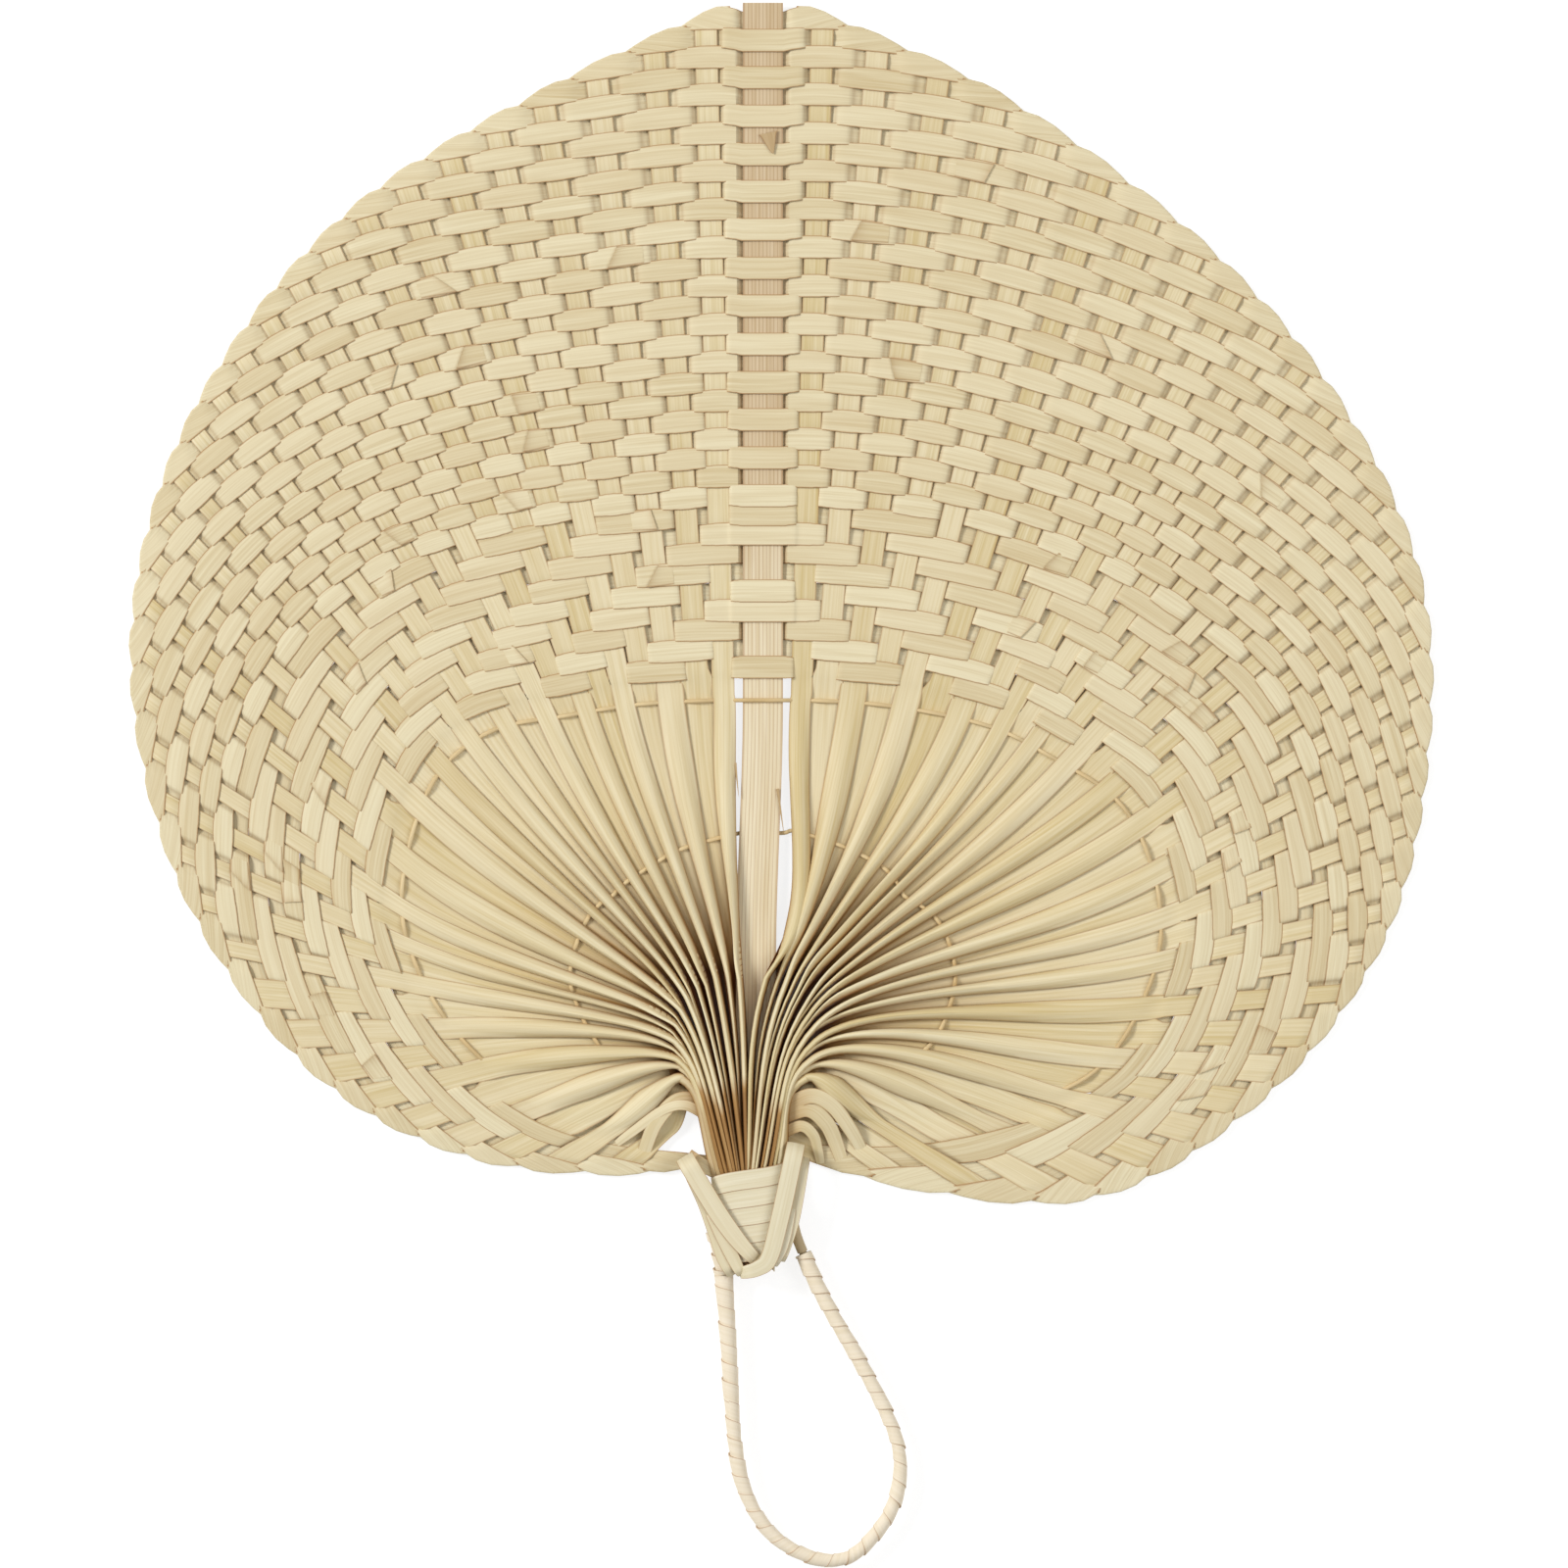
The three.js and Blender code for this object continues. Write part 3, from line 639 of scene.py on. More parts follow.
def cut_end(side, row, warp, slant, outward, weave):
    """Top and bottom points of a new strip's cut end, laid on a row where that passes over a warp."""
    share = np.linspace(0, 1, CUT_END_RINGS)[:, None]
    skew = slant * WEFT_COLUMNS * share ** 3
    number = warp + outward * (CUT_END_RUN * share - CUT_END_START + skew)
    cover = WEFT_COLUMNS * weave.weft_cover / 2 * (BELLY_LEAST + CUT_END_FLARE * share)
    height = weft_height(row, np.clip(number, warp - 0.3, warp + 0.3), weave)
    crown = weave.weft_crown / MM * (1 - WEFT_COLUMNS ** 2) - weave.weft_tilt / MM * WEFT_COLUMNS
    lift = CUT_END_LIFT[0] + CUT_END_LIFT[1] * share ** 2
    top = raised(weave_place(side, number, row + 0.5 + cover), WEAVE_MID + height + crown + lift)
    return top, top - UP * CUT_END_THICKNESS


# Splinters on the midrib: places from root to tip in the plane, and width at the root
SPLINTERS = [
    (((1.2, 250.2), (2.3, 245.4)), 4.4),
    (((3.4, 98.0), (4.9, 87.4)), 0.7),
    (((-6.4, 104.0), (-5.6, 96.0)), 0.6),
]


class FAN_OT_cut_ends(bpy.types.Operator):
    """Lays the cut ends of new strips on the weave, and splinters on the midrib"""

    bl_idname = "fan.cut_ends"
    bl_label = "Cut ends"

    def execute(self, context):
        weave, finish = context.scene.fan_weave, context.scene.fan_finish
        chance = np.random.default_rng(11)
        leaf = dried_palm_leaf(
            "dried_palm_leaf_cut_end", finish.weft_pale, finish.weft_deep, finish.edge, edge_share=0.8,
        )
        strips = Strips()
        shade_and_stain = CUT_END_STAIN * np.linspace(0, 1, CUT_END_RINGS) ** 6
        for side in WEAVE:
            for row in range(2, ROW_COUNT - 4):
                for warp in range(2, ROW_COUNT - row - 2):
                    if weft_is_over(row, warp) and chance.uniform() < CUT_END_CHANCE:
                        slant = chance.uniform(-CUT_END_SLANT, CUT_END_SLANT)
                        faces = cut_end(side, row, warp, slant, chance.choice((-1, 1)), weave)
                        strips.add(*faces, chance.uniform(), shade_and_stain)
        for points, width in SPLINTERS:
            flat = dense(points, 6)
            share = np.linspace(0, 1, len(flat))
            course = raised(flat, WEAVE_MID + 1.0 + 0.5 * share)
            strips.add(*band(course, width * (1 - 0.95 * share), 0.2), 0.6, 0.3)
        strips.build("weft_cut_ends", leaf, FAN_BODY, "leaf")
        return {"FINISHED"}


# Columns of points across a segment, from its inner to its outer edge
BLADE_COLUMNS = np.linspace(-1, 1, 7)

# Rings of a segment from the neck to its knee and from there to the weave, the row number at which its
# pleat ends, its rings in each row of the weave, and the warp from which segments keep more width
NECK_STEPS, PLEAT_STEPS = 12, 30
PLEAT_END_ROW = -1.2
ROW_STOPS = np.array([0, 0.2, 0.5, 0.8])
WIDE_FROM_WARP = 26

# How far the first segments stand off the midrib on their way, which leaves the open slots
# beside it: by how much, and a power that moves the widest place along them
SLOT_WIDENING = {"left": (0.6, 2.0), "right": (4.0, 0.7)}

# Width of the first segment on the right once it has opened, the most width of any, and the last warp
# at which the back ones may be broader
FIRST_SEGMENT, WIDEST_SEGMENT, LAST_BROAD_WARP = 4.3, 6.4, 32

# Depth of a segment's closed fold in the bundle, and how soon the fold opens on its way out
FOLD_DEPTH, FOLD_OPENING = 4.0, 3.2

# How far the segments lie below the bundle's top and their least width: those whose folds stand
# proud, those that lie lower, and the back ones
PROUD_DROP, LOWER_DROP, BACK_DROP = (0, 0.4), (0.8, 1.8), (1.8, 3.0)
PROUD_WIDTH, LOWER_WIDTH, BACK_WIDTH = (0.9, 1.7), (0.5, 0.9), (0.6, 1.0)

# Painted shade in the bundle: how many segments lie in deep shade, how far those and the others are
# browned, and the height below which they are, how far that varies and over what length the brown
# fades
SHARE_DEEP_SHADED = {"left": 0.7, "right": 0.45}
DEEP_SHADE, LIGHT_SHADE = (0.35, 0.75), (0, 0.12)
SHADE_TOP, SHADE_SPREAD, SHADE_FADE = 30.0, 4, 5

# How far the segments are dimmed in the weave, so that their pleats stand lighter as a painted
# highlight, and the share of their painted shade and dimming that their undersides have
WOVEN_DIMMING, UNDERSIDE_SHADE_SHARE = 0.06, 0.4

# Places of the strips that fill the spread between the last segments, how far under they lie, and
# how much lower every second one does
UNDER_WARPS, UNDER_DROP, UNDER_STEP = (29.5, 30.5, 31.5, 32.5, 33.5), 0.7, 0.3


def bezier(start, first, second, end, steps):
    """Places on a curve that leaves its start and reaches its end by way of two handles."""
    share = np.linspace(0, 1, steps)[:, None]
    rest = 1 - share
    return (
        rest ** 3 * start + 3 * rest ** 2 * share * first
        + 3 * rest * share ** 2 * second + share ** 3 * end
    )


def heading(sign, degrees):
    """Unit vector in the plane that leans out from the midrib by an angle."""
    lean = math.radians(degrees)
    return np.array([sign * math.sin(lean), math.cos(lean)])


def pleat_path(side, warp):
    """Course of a segment in the plane, from the neck over its knee to the weave."""
    sign = WEAVE[side]["sign"]
    out = max((warp - 1) / (WARP_COUNT - 1), 0)
    shape = KNEES[side]
    neck = np.array([NECK_X + sign * NECK_HALF * out, NECK_Y])
    spread = 1 - (1 - out) ** shape["rush"]
    aside = shape["start"] + shape["reach"] * spread + shape["bulge"] * out ** 5
    knee = np.array([sign * aside, KNEE_TOP - KNEE_DROP * out ** 1.6])
    end = weave_place(side, warp, PLEAT_END_ROW)
    turn = heading(sign, shape["lean"][0] + shape["lean"][1] * out + 8 * out ** 4)
    onward = unit(weave_place(side, warp, 0.0) - end)
    rise, span = np.linalg.norm(knee - neck), np.linalg.norm(end - knee)
    upward = unit(knee - neck + np.array([0, 0.5 * rise * (1 - 0.9 * out)]))
    before, after = turn * rise * shape["bend"][0], turn * span * shape["bend"][1]
    low = bezier(neck, neck + upward * rise * 0.45, knee - before, knee, NECK_STEPS)
    onward = onward * span * (0.42 - 0.1 * out)
    high = bezier(knee, knee + after, end - onward, end, PLEAT_STEPS)
    return np.concatenate([low[:-1], high])


def pleat_frame(side, warp):
    """Centres, outward directions and spacing along a segment, with its shares of pleat and neck."""
    centre = pleat_path(side, warp)
    along = unit(np.gradient(centre, axis=0))
    outward = np.stack([along[:, 1], -along[:, 0]], -1) * WEAVE[side]["sign"]
    gap = pleat_path(side, warp + 0.5) - pleat_path(side, warp - 0.5)
    pitch = np.abs((gap * outward).sum(1))
    place = np.arange(len(centre)) - NECK_STEPS + 1
    stop = np.clip(place / (PLEAT_STEPS - 1), 0, 1)
    return centre, outward, pitch, stop, np.clip(1 + place / (NECK_STEPS - 1), 0, 1)


def pleat_height(stop):
    """Height of the pleats' middle at a share of the way from the knees to the weave."""
    return NECK_MID + (WEAVE_MID - NECK_MID) * smooth(stop)


def end_cover(warp):
    """Share of the spacing that a segment covers where it enters the weave: back ones lie under."""
    return 1.0 if warp % 2 == 1 else 1.34


def end_share(side, warp, row):
    """Share of the warp spacing that a segment covers near the weave, as far as it is wide enough."""
    widest = WIDEST_SEGMENT if warp % 2 == 1 or warp > LAST_BROAD_WARP else 1.6 * WIDEST_SEGMENT
    return np.minimum(end_cover(warp), widest / warp_pitch(side, float(warp), row))


def blade_rings(side, warp, pleat, chance):
    """Middle points, normals and painted shade of a segment from the neck to the weave's inner edge.
    """
    centre, outward, pitch, stop, neck = pleat_frame(side, float(warp))
    front = warp % 2 == 1
    low = max((warp - 1) / (WARP_COUNT - 1), 0) ** 4
    open_share = smooth(stop * FOLD_OPENING)
    close = 1 - 0.75 * smooth((pitch - 0.6) / 1.6)
    late = 1 - smooth(stop * 2 - 1)
    if front:
        # a closed fold in the bundle: every other one stands proud, and the rest lie lower
        proud = warp % 4 == 1
        drop = chance.uniform(*(PROUD_DROP if proud else LOWER_DROP))
        least = chance.uniform(*(PROUD_WIDTH if proud else LOWER_WIDTH)) + 1.4 * low
        cover, lift = 1.2, 0.9
        rise = 0.12 * (1 - open_share) + chance.uniform(0.2, 1.1) * late * open_share
        fold = FOLD_DEPTH * (1 - open_share) * (1 - 0.6 * low) * close
    else:
        drop = chance.uniform(*BACK_DROP) + 1.2 * np.sin(np.pi * np.clip(stop * 3, 0, 1))
        least = chance.uniform(*BACK_WIDTH) + 1.0 * low
        cover, lift = 1.8 + 0.9 * (1 - smooth(stop * 3)), -1.2
        rise = 3.4 * (1 - open_share) + 0.8 * late
        fold = np.zeros_like(stop)
    # painted shade deep in the bundle, below a height that varies from segment to segment
    shade_depth = chance.uniform(*(DEEP_SHADE if chance.uniform() < SHARE_DEEP_SHADED[side] else LIGHT_SHADE))
    shade_top = SHADE_TOP + chance.uniform(-SHADE_SPREAD, SHADE_SPREAD)
    bundle_shade = shade_depth * smooth((shade_top - centre[:, 1]) / SHADE_FADE)[:, None]
    rise = rise * (1 - 0.55 * low)
    cover = cover * (1 + chance.uniform(-0.14, 0.3) * np.sin(np.pi * stop))
    flat = np.clip(pitch * cover, least, WIDEST_SEGMENT)
    if warp == 1 and side == "right":
        flat = np.maximum(flat, FIRST_SEGMENT * open_share)
    apart = np.minimum(neck * 5, 1)
    height = pleat_height(stop) + lift * (1 - smooth(stop)) * apart + 0.3 * np.sign(lift) * stop
    height = height - drop * (1 - smooth(stop * 3)) * apart - 0.35 * fold
    height = np.maximum(height, rise / 2 + pleat.blade_thickness / MM)
    sway = chance.uniform(-0.25, 0.25) * (1.0 if front else 0.4)
    sway = sway * np.sin(np.pi * stop) * np.minimum(pitch, 2.5)
    sway = sway + chance.uniform(-0.35, 0.35) * (1 - open_share)
    if warp < 4:
        widening, peak = SLOT_WIDENING[side]
        sway = sway + widening / warp * np.sin(np.pi * stop ** peak) ** 2
    # a front segment's right edge is the higher one, so that it faces the light from the left
    up = WEAVE[side]["sign"] * (1 if front else -1)
    reach = end_share(side, warp, PLEAT_END_ROW) / 2
    edges = [weave_place(side, warp + step, PLEAT_END_ROW) for step in (reach, -reach)]
    last = edges[0] - edges[1]
    across = outward * flat[:, None]
    across = across + (last - across) * smooth(stop * 2 - 1)[:, None]
    across = raised(across, up * rise)
    middle = raised(centre + outward * sway[:, None], height)
    along = unit(np.gradient(middle, axis=0))
    normal = unit(np.cross(along, across))
    normal = normal * np.where(normal[:, 2:] < 0, -1, 1)
    share = BLADE_COLUMNS[None, :, None] / 2
    bow = pleat.blade_crown / MM * (0.1 + 0.9 * np.sin(np.pi * stop)) * (1.0 if front else 0.3)
    bow = fold + bow
    arch = bow[:, None] * (1 - np.abs(BLADE_COLUMNS) ** (4 - 2 * open_share)[:, None])
    places = middle[:, None] + across[:, None] * share + normal[:, None] * arch[..., None]
    # painted shade: browned deep in the bundle, in the valleys of the pleats and along the front
    # segments' edges, and pale on top
    near = (1 - smooth(stop * 5))[:, None]
    mid = (1 - smooth(stop * 1.2))[:, None]
    beside = np.abs(BLADE_COLUMNS)
    if front:
        shade_and_stain = near * (0.7 * beside ** 6 + bundle_shade) + 0.6 * mid * beside ** 4 + WOVEN_DIMMING * (1 - mid)
    else:
        # its painted shade keeps to its upper side: its lower edge shows at the back of the fan, where
        # it is pale again
        above = smooth(0.6 + up * BLADE_COLUMNS)
        shade_and_stain = 0.9 * near * (0.4 + 0.6 * close)[:, None] * above + WOVEN_DIMMING
        shade_and_stain = shade_and_stain + mid * (0.1 + 0.5 * mid ** 2 + 0.6 * np.minimum(1.6 * beside, 1) ** 3)
    shade_and_stain = np.minimum(shade_and_stain * (1 - 0.6 * low), 1)
    return places, np.broadcast_to(normal[:, None], places.shape), shade_and_stain


def warp_height(row, warp, weave):
    """Height of a warp off the middle of the weave, giving way to each weft."""
    low = np.floor(row - 0.5).astype(int)
    sway = weave.warp_sway / MM

    def level(number):
        woven = np.where(weft_is_over(np.maximum(number, 0), warp), -sway, sway)
        return np.where(number < 0, 0.0, woven)

    return level(low) + (level(low + 1) - level(low)) * smooth((row - 0.5 - low) / 0.4 - 0.75)


def warp_rings(side, warp, weave):
    """Middle points and normals of a segment across the weave to the rim."""
    last = FOLD_SUM - warp
    straight = max(last - 1.0, 0.2)
    rows = (np.arange(math.ceil(straight))[:, None] + ROW_STOPS).ravel()
    rows = np.concatenate([(-0.9, -0.6, -0.3), rows[rows < straight - 0.05], [straight]])
    pitch = warp_pitch(side, float(warp), rows)
    taper = 1 - 0.22 * smooth((warp - 6) / 8) * smooth(rows / 12)
    width = np.clip(0.8 * pitch, taper * weave.strip_width / MM, 1.4 * weave.strip_width / MM)
    width = np.where(warp < WIDE_FROM_WARP, taper * weave.strip_width / MM, width)
    share = np.minimum(width / pitch, 0.97)
    share = share + (end_share(side, warp, rows) - share) * (1 - smooth((rows + 0.5) / 1.2))
    number = warp + BLADE_COLUMNS * share[:, None] / 2
    height = warp_height(rows, warp, weave)[:, None]
    early = smooth(1 - (rows - PLEAT_END_ROW) / -PLEAT_END_ROW)[:, None]
    height = height + (0.3 if warp % 2 == 1 else -0.3) * early
    level = np.repeat(rows[:, None], len(BLADE_COLUMNS), 1)
    places = [raised(weave_place(side, number, level), WEAVE_MID + height)]
    share = np.linspace(0, 1, 5)[1:, None]
    number = np.repeat(number[-1:], len(share), 0)
    level = straight + (FOLD_SUM - number - 0.25 - straight) * share
    drop = height[-1] + (-0.35 - height[-1]) * smooth(share)
    places.append(raised(weave_place(side, number, level), WEAVE_MID + drop))
    places = np.concatenate(places)
    return places, np.broadcast_to(UP, places.shape)


def under_strip(side, warp, drop, pleat, chance):
    """Middle points, normals and painted shade of a strip that lies under two spread segments."""
    places, normals, shade_and_stain = blade_rings(side, warp, pleat, chance)
    rows = np.array([-0.6, 0.2, 1.2])
    reach = end_share(side, warp, rows)[:, None] / 2
    level = np.repeat(rows[:, None], len(BLADE_COLUMNS), 1)
    woven = raised(weave_place(side, warp + BLADE_COLUMNS * reach, level), WEAVE_MID - drop)
    places = places - UP * (drop * smooth(np.linspace(0, 3, len(places)) - 1))[:, None, None]
    return (
        np.concatenate([places, woven]),
        np.concatenate([normals, np.broadcast_to(UP, woven.shape)]),
        np.concatenate([shade_and_stain, np.full(woven.shape[:2], WOVEN_DIMMING)]),
    )


class FAN_OT_leaf_segments(bpy.types.Operator):
    """Makes each leaf segment, from the neck through its pleat to its fold at the rim"""

    bl_idname = "fan.leaf_segments"
    bl_label = "Leaf segments"

    def execute(self, context):
        scene = context.scene
        weave, pleat, finish = scene.fan_weave, scene.fan_pleat, scene.fan_finish
        chance = np.random.default_rng(68)
        leaf = dried_palm_leaf(
            "dried_palm_leaf_segment", finish.warp_pale, finish.warp_deep, finish.edge, tint=0.25,
        )
        half = pleat.blade_thickness / MM / 2
        for side in WEAVE:
            strips = Strips()
            for warp in range(1, WARP_COUNT + 1):
                blade, blade_normals, shade_and_stain = blade_rings(side, warp, pleat, chance)
                woven, woven_normals = warp_rings(side, warp, weave)
                places = np.concatenate([blade, woven])
                normals = np.concatenate([blade_normals, woven_normals])
                # dimmed a little in the weave, so that the pleats stand lighter as a painted highlight
                shade_and_stain = np.concatenate([shade_and_stain, np.full(woven.shape[:2], WOVEN_DIMMING)])
                top, bottom = places + normals * half, places - normals * half
                strips.add(top, bottom, chance.uniform(), shade_and_stain, UNDERSIDE_SHADE_SHARE)
            for number, warp in enumerate(UNDER_WARPS):
                drop = UNDER_DROP + UNDER_STEP * (number % 2)
                places, normals, shade_and_stain = under_strip(side, warp, drop, pleat, chance)
                top, bottom = places + normals * half, places - normals * half
                strips.add(top, bottom, chance.uniform(), shade_and_stain, UNDERSIDE_SHADE_SHARE)
            strips.build(f"{side}_segments", leaf, FAN_BODY, "pleats", f"{side}_leaf")
        return {"FINISHED"}


def band(course, widths, thickness, crown=0.0, columns=5):
    """Top and bottom points of a strip along a course in space, level across."""
    course = np.asarray(course, float)
    along = unit(np.gradient(course, axis=0))
    across = unit(np.cross(along, UP))
    normal = unit(np.cross(across, along))
    share = np.linspace(-1, 1, columns)
    places = (
        course[:, None] + across[:, None] * (share * np.asarray(widths)[:, None] / 2)[..., None]
        + normal[:, None] * (crown * (1 - share ** 2))[None, :, None]
    )
    return places, places - normal[:, None] * thickness


# Foot of the midrib in the neck, how far it sinks below the middle there, how far it leans to the left
# in the pleats, the room it leaves beside it, and its rings
RIB_FOOT, RIB_SINK, RIB_LEAN, RIB_ROOM, RIB_RINGS = 10, 1.2, 1.6, 0.3, 80


class FAN_OT_midrib(bpy.types.Operator):
    """Makes the midrib, flat in the weave and sinking between the pleats"""

    bl_idname = "fan.midrib"
    bl_label = "Midrib"

    def execute(self, context):
        pleat, finish = context.scene.fan_pleat, context.scene.fan_finish
        rib = dried_palm_leaf(
            "split_palm_midrib", finish.rib_pale, finish.rib_deep, finish.edge,
            fibre_mm=0.6, edge_share=0.9, veins_mm=0.85,
        )
        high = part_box("midrib")[1] / MM
        y = np.linspace(RIB_FOOT, high.y, RIB_RINGS)
        thickness = pleat.rib_thickness / MM
        # deep in the bundle and narrow at its foot, and level with the weave further up
        rise = smooth((y - 20) / 90)
        height = NECK_MID - RIB_SINK + (WEAVE_MID - NECK_MID + RIB_SINK) * rise + thickness / 2
        width = 2 * RIB_HALF * (0.35 + 0.65 * smooth((y - 12) / 30))
        lean = -RIB_LEAN * (1 - smooth((y - 58) / 60))
        lean = lean + (NECK_X + RIB_LEAN) * (1 - smooth((y - 12) / 40))
        course = np.stack([lean, y, height], -1)
        strips = Strips()
        # darker where the weave holds it: partly its own colour and partly painted shade from the rows
        # over it
        shade_and_stain = 0.2 * smooth((y - 124) / 60)
        strips.add(*band(course, width - RIB_ROOM, thickness, crown=0.12), 0.2, shade_and_stain)
        strips.build("midrib_strip", rib, FAN_BODY, "leaf", "midrib")
        return {"FINISHED"}


def tube(course, radius, sides):
    """Outer and inner points of a round thread along a course in space, in rings that close."""
    along = unit(np.gradient(course, axis=0))
    across = unit(np.cross(along, UP))
    upward = np.cross(across, along)
    angle = np.linspace(0, 2 * np.pi, sides + 1)
    around = (
        across[:, None] * np.cos(angle)[None, :, None] + upward[:, None] * np.sin(angle)[None, :, None]
    )
    return course[:, None] + around * radius, course[:, None] + around * radius * 0.3


def dense(points, per_step):
    """A smooth course through points."""
    return spline(points, np.linspace(0, len(points) - 1, (len(points) - 1) * per_step + 1))


# The sewing ends at this warp, short of the neck
LAST_SEWN_WARP = 29


def twine_course(side, step, lift, climb):
    """Course of a sewing twine along one side, over the back segments and under the front ones,
    which may climb towards the midrib."""
    points = []
    for warp in range(1, LAST_SEWN_WARP + 1):
        centre, _, _, stop, _ = pleat_frame(side, float(warp))
        over = lift if warp % 2 == 0 else -lift
        stitch = step + climb * max(1 - warp / 12, 0)
        x, y, reach = (np.interp(stitch, np.arange(len(stop)), row) for row in (*centre.T, stop))
        points.append((x, y, pleat_height(reach) + over))
    return points


class FAN_OT_sewing_twines(bpy.types.Operator):
    """Sews the twines through the pleats"""

    bl_idname = "fan.sewing_twines"
    bl_label = "Sewing twines"

    def execute(self, context):
        scene = context.scene
        pleat, finish = scene.fan_pleat, scene.fan_finish
        twist = dried_palm_leaf(
            "twisted_leaf_twine", finish.twine_pale, finish.twine_deep, finish.edge,
            fibre_mm=0.3, edge_depth=0,
        )
        radius = pleat.twine_diameter / MM / 2
        last = NECK_STEPS - 1 + PLEAT_STEPS - 1
        # each one's stitches along the segments, lift over and under them, lift at the rib and climb
        for name, step, lift, rib_lift, climb in (
            ("outer_twine", last, 0.75, 1.0, 0), ("inner_twine", last - 15, 0.6, -1.0, 4),
        ):
            sides = [twine_course(side, step, lift, climb) for side in WEAVE]
            y = (sides[0][0][1] + sides[1][0][1]) / 2
            rib = [(x, y, WEAVE_MID + rib_lift) for x in (-RIB_HALF, 0, RIB_HALF)]
            course = dense([*sides[0][::-1], *rib, *sides[1]], 4)
            strips = Strips()
            strips.add(*tube(course, radius, 8), 0.4)
            strips.build(f"{name}_thread", twist, FAN_BODY, "binding", name)
        return {"FINISHED"}


# Power of the neck's rounded section, and rise of its bands towards the right
NECK_SECTION_POWER, NECK_SLANT = 0.4, 0.12

# Half width of the neck at its shoulder, how much it narrows from there and over what length
NECK_WIDTH, NECK_NARROWING, NECK_SHOULDER, NECK_RUN = 8.9, 2.5, 10, 20

# Turns of the winding and where they start, rings to a turn, and how far a turn laps over the next
NECK_TURNS, NECK_TOP, NECK_RINGS, NECK_LAP = 5.0, 8.6, 56, 0.16


def neck_half_width(y):
    """Half width of the bound neck, which narrows downwards."""
    return NECK_WIDTH - NECK_NARROWING * np.clip((NECK_SHOULDER - y) / NECK_RUN, 0, 1.2)


def neck_winding(binding):
    """Top and bottom points of the strip wound round the neck."""
    pitch = binding.neck_pitch / MM
    angle = np.linspace(0.25, NECK_TURNS * 2 * np.pi, round(NECK_TURNS * NECK_RINGS))
    share = np.linspace(-1, 1, 5)
    y = NECK_TOP - pitch * angle[:, None] / (2 * np.pi) + share * pitch * 0.54
    lift = NECK_LAP * (1 - share) / 2
    cos, sin = np.cos(angle)[:, None], np.sin(angle)[:, None]
    depth = NECK_MID - 0.2
    x = NECK_X + (neck_half_width(y) + lift) * np.sign(cos) * np.abs(cos) ** NECK_SECTION_POWER
    z = NECK_MID + (depth + lift) * np.sign(sin) * np.abs(sin) ** NECK_SECTION_POWER
    y = y + NECK_SLANT * (x - NECK_X)
    top = np.stack([x, y, z], -1)
    inward = np.stack([NECK_X + (x - NECK_X) * 0.955, y, NECK_MID + (z - NECK_MID) * 0.94], -1)
    return top, inward


# Folded segments whose cut ends show at the foot of the neck, how far the outer ones lie from its
# middle and half the thickness of one, as shares of the neck's half width; where they start and the
# range in which they end, and the room they leave for the winding beside and above them
STUB_BLADES, STUB_REACH, STUB_HALF = 15, 0.93, 0.062
STUB_TOP, STUB_FOOT, STUB_ROOM = 8.0, (-13.0, -11.9), (0.7, 0.9)


def stub_blade(place, foot, fullness):
    """Two faces of a folded segment on edge inside the neck, at a share of the neck's half width."""
    y = np.linspace(STUB_TOP, foot, 8)[:, None]
    level = np.linspace(-1, 1, 7)
    half = STUB_HALF * (1 - 0.45 * level ** 4)
    deep = fullness * (NECK_MID - STUB_ROOM[1]) * (1 - abs(place) ** 5) ** 0.2
    faces = []
    for share in (place + half, place - half):
        across = (neck_half_width(y) - STUB_ROOM[0]) * share
        places = NECK_X + across, y + NECK_SLANT * across, NECK_MID + deep * level
        faces.append(np.stack(np.broadcast_arrays(*places), -1))
    return faces


# Straps over the neck: points across the front from top to bottom, width and layer
STRAPS = {
    "left_strap": [
        (((-16.6, 9.0), (-13.4, 2.0), (-11.0, -5.0), (-9.3, -10.5), (-7.2, -14.8)), 3.4, 0),
        (((-12.2, 1.0), (-9.6, -5.0), (-6.9, -10.6), (-4.9, -14.6)), 3.3, 1),
        (((-18.2, 12.7), (-14.2, 6.0), (-9.7, -1.2), (-5.4, -7.0), (-1.2, -11.6)), 4.4, 2),
    ],
    "right_strap": [
        (((9.5, 12.6), (8.3, 5.0), (7.0, -2.0), (5.4, -7.6), (4.2, -11.4)), 3.0, 0),
        (((6.4, 2.0), (5.4, -4.0), (4.2, -8.6), (2.4, -12.4)), 3.0, 1),
        (((7.7, 15.8), (5.9, 7.4), (4.0, -1.2), (1.5, -10.4), (-1.2, -13.0), (-5.4, -14.2)), 4.3, 3),
    ],
}

